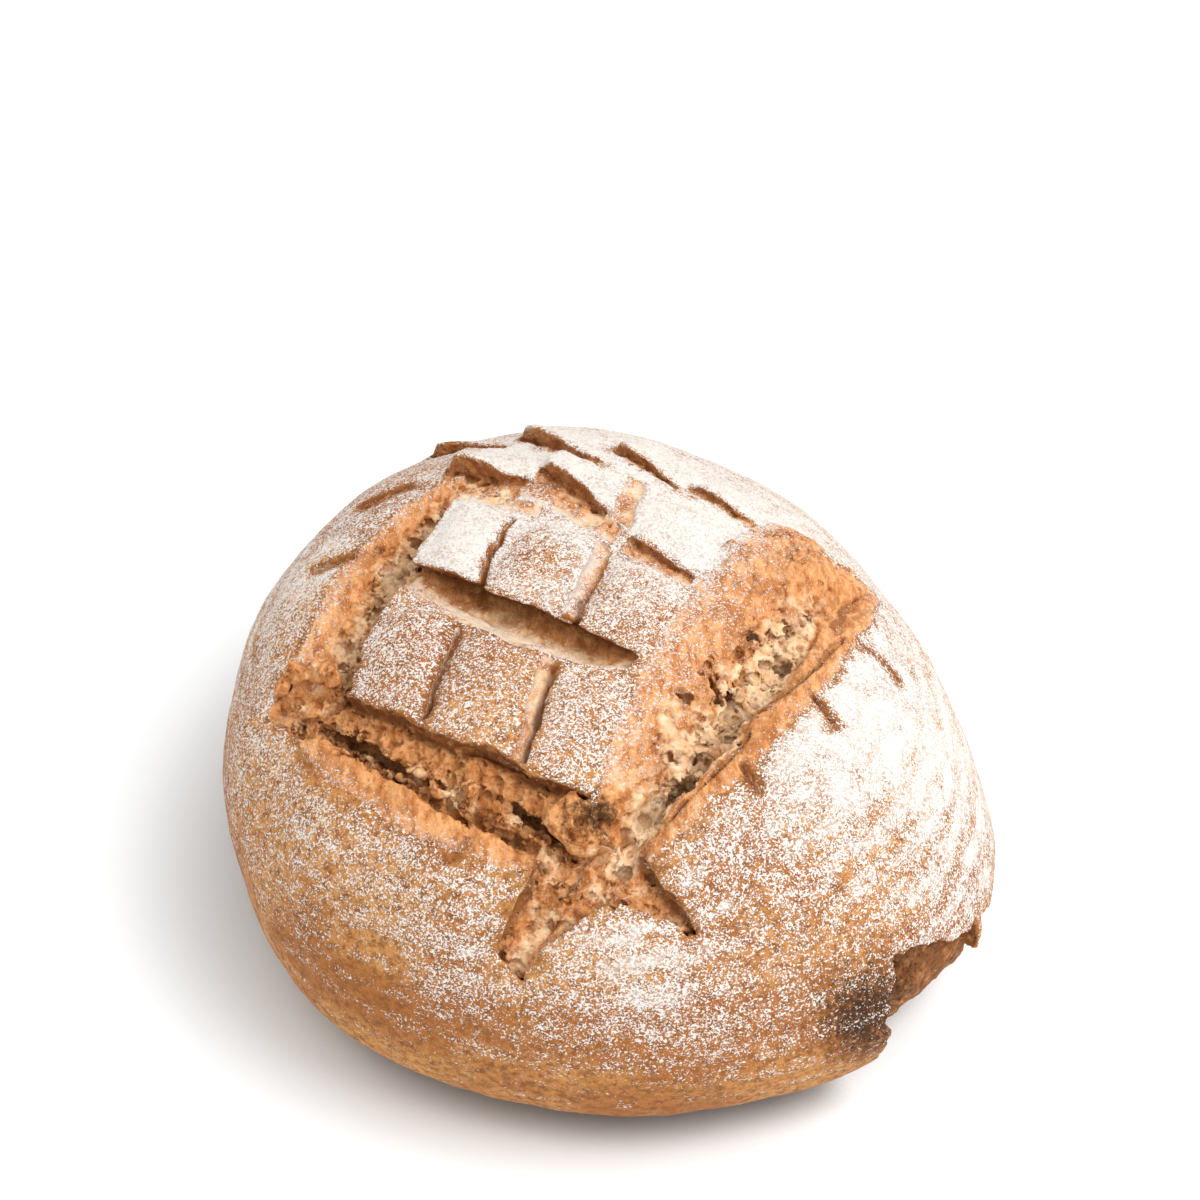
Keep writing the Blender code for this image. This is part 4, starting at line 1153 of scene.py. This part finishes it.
def strew(crust, count, seed):
    """Places and slopes for grains on the crust, thickest where flour lies."""
    data = crust.data
    points = mesh_points(data)
    data.calc_loop_triangles()
    corners = read(data.loop_triangles, "vertices", 3, np.int32)
    a, b, c = (points[corners[:, k]] for k in range(3))
    slope = np.cross(b - a, c - a)
    area = np.linalg.norm(slope, axis=1)
    flour, torn, burnt = (read(data.attributes[name].data, "value")[corners].mean(1)
                          for name in ("flour", "torn", "burnt"))
    up = slope[:, 2] / np.maximum(area, 1e-9)
    caught = smooth(-0.1, 0.5, up) * np.clip(flour + 0.12 * torn, 0, 1) ** 1.5
    caught = caught * (1 - burnt * torn)
    rng = np.random.default_rng(seed)
    share = np.cumsum(area * (caught + 0.004))
    chosen = np.searchsorted(share, rng.random(count) * share[-1])
    u, v = rng.random((2, count, 1))
    flip = u + v > 1
    u, v = np.where(flip, 1 - u, u), np.where(flip, 1 - v, v)
    place = a[chosen] + u * (b - a)[chosen] + v * (c - a)[chosen]
    return place, slope[chosen] / area[chosen][:, None], rng


class LOAF_OT_crust(Operator):
    """Carve the torn crust and crumb out of the dome and colour it"""
    bl_idname = "loaf.crust"
    bl_label = "Crust and crumb"

    def execute(self, context):
        shape = context.scene.loaf_shape
        step = shape.grain / MM
        loaf = carve(Block((-126, -126, -3), (126, 126, 134), step), shape)
        points, faces = keep_largest(*surface(loaf.block, loaf.body))
        fine = crumb_share(loaf, points)[faces].max(1) > CRUMB_FROM
        data = mesh_from("crust", *refine(points, faces, fine))
        press_bubbles(data, loaf)
        piece = link("crust", data)
        thin = piece.modifiers.new("thin", "DECIMATE")
        thin.ratio = min(1.0, shape.triangles / (len(data.loops) - 2 * len(data.polygons)))
        bpy.ops.object.modifier_apply(modifier="thin")
        paint(piece.data, loaf)
        piece.data.shade_smooth()
        piece.data.materials.append(crust_material(context.scene.loaf_colours))
        show_as_loaf(piece)
        return {"FINISHED"}


class LOAF_OT_flour(Operator):
    """Strew loose grains of flour over the crust"""
    bl_idname = "loaf.flour"
    bl_label = "Loose flour"

    def execute(self, context):
        points, corners = model_grain()
        count = GRAINS
        place, slope, rng = strew(bpy.data.objects["crust"], count, 7)
        size = np.clip(rng.gamma(5.0, 0.04, count), *GRAIN_SIZES)
        turns = np.linalg.qr(rng.normal(size=(count, 3, 3)))[0]
        turns *= np.sign(np.linalg.det(turns))[:, None, None]
        spots = np.einsum("nij,kj->nki", turns, points) * size[:, None, None]
        spots = spots + (place + slope * size[:, None] * 0.25)[:, None, :]
        faces = corners[None] + (np.arange(count) * len(points))[:, None, None]
        data = bpy.data.meshes.new("loose_flour")
        data.from_pydata((spots.reshape(-1, 3) * MM).tolist(), [], faces.reshape(-1, 3).tolist())
        data.update()
        piece = link("loose_flour", data)
        data.materials.append(flour_material(context.scene.loaf_colours))
        show_as_loaf(piece)
        return {"FINISHED"}


class LOAF_OT_stage(Operator):
    """Set up the floor, the lights and the camera"""
    bl_idname = "loaf.stage"
    bl_label = "Studio"

    def execute(self, context):
        scene = context.scene
        studio = scene.loaf_studio
        aim = Vector(studio.aim)
        back = Vector((0, -math.cos(studio.tilt), math.sin(studio.tilt)))
        deselect_all()
        bpy.ops.object.camera_add(location=aim + back * studio.distance,
                                  rotation=(math.pi / 2 - studio.tilt, 0, 0))
        camera = context.object
        camera.name = "camera"
        camera.data.lens = studio.lens
        scene.camera = camera
        bpy.ops.mesh.primitive_plane_add(size=studio.floor_size, location=(0, 0, 0))
        floor = context.object
        floor.name = "floor"
        floor.data.materials.append(floor_material(studio))
        world = bpy.data.worlds.new("studio")
        world.use_nodes = True
        sky = world.node_tree.nodes["Background"]
        sky.inputs["Color"].default_value = (1, 1, 1, 1)
        sky.inputs["Strength"].default_value = studio.sky
        scene.world = world
        place = Vector(studio.key_place)
        towards_loaf = Vector((0, 0, 0.05)) - place
        bpy.ops.object.light_add(type="AREA", location=place,
                                 rotation=towards_loaf.to_track_quat("-Z", "Y").to_euler())
        key = context.object
        key.name = "key"
        key.data.size = studio.key_size
        key.data.energy = studio.key_power
        scene.view_settings.view_transform = "Standard"
        return {"FINISHED"}


class LOAF_PT_parts(Panel):
    """The loaf's pieces and what can be changed about them"""
    bl_label = "Sourdough Loaf"
    bl_space_type = "VIEW_3D"
    bl_region_type = "UI"
    bl_category = "Loaf"

    def draw(self, context):
        layout = self.layout
        for operator in PIECES:
            layout.operator(operator.bl_idname)
        for group in GROUPS:
            box = layout.box()
            for name in group.__annotations__:
                box.prop(getattr(context.scene, GROUPS[group]), name)


GROUPS = {LoafShape: "loaf_shape", LoafColours: "loaf_colours", LoafStudio: "loaf_studio"}
PIECES = (LOAF_OT_crust, LOAF_OT_flour, LOAF_OT_stage)


def register():
    for kind in (*GROUPS, *PIECES, LOAF_PT_parts):
        bpy.utils.register_class(kind)
    for group, name in GROUPS.items():
        setattr(bpy.types.Scene, name, PointerProperty(type=group))


def unregister():
    for name in GROUPS.values():
        delattr(bpy.types.Scene, name)
    for kind in reversed((*GROUPS, *PIECES, LOAF_PT_parts)):
        bpy.utils.unregister_class(kind)


def main():
    register()
    bpy.ops.loaf.crust()
    bpy.ops.loaf.flour()
    bpy.ops.loaf.stage()


if __name__ == "__main__":
    main()
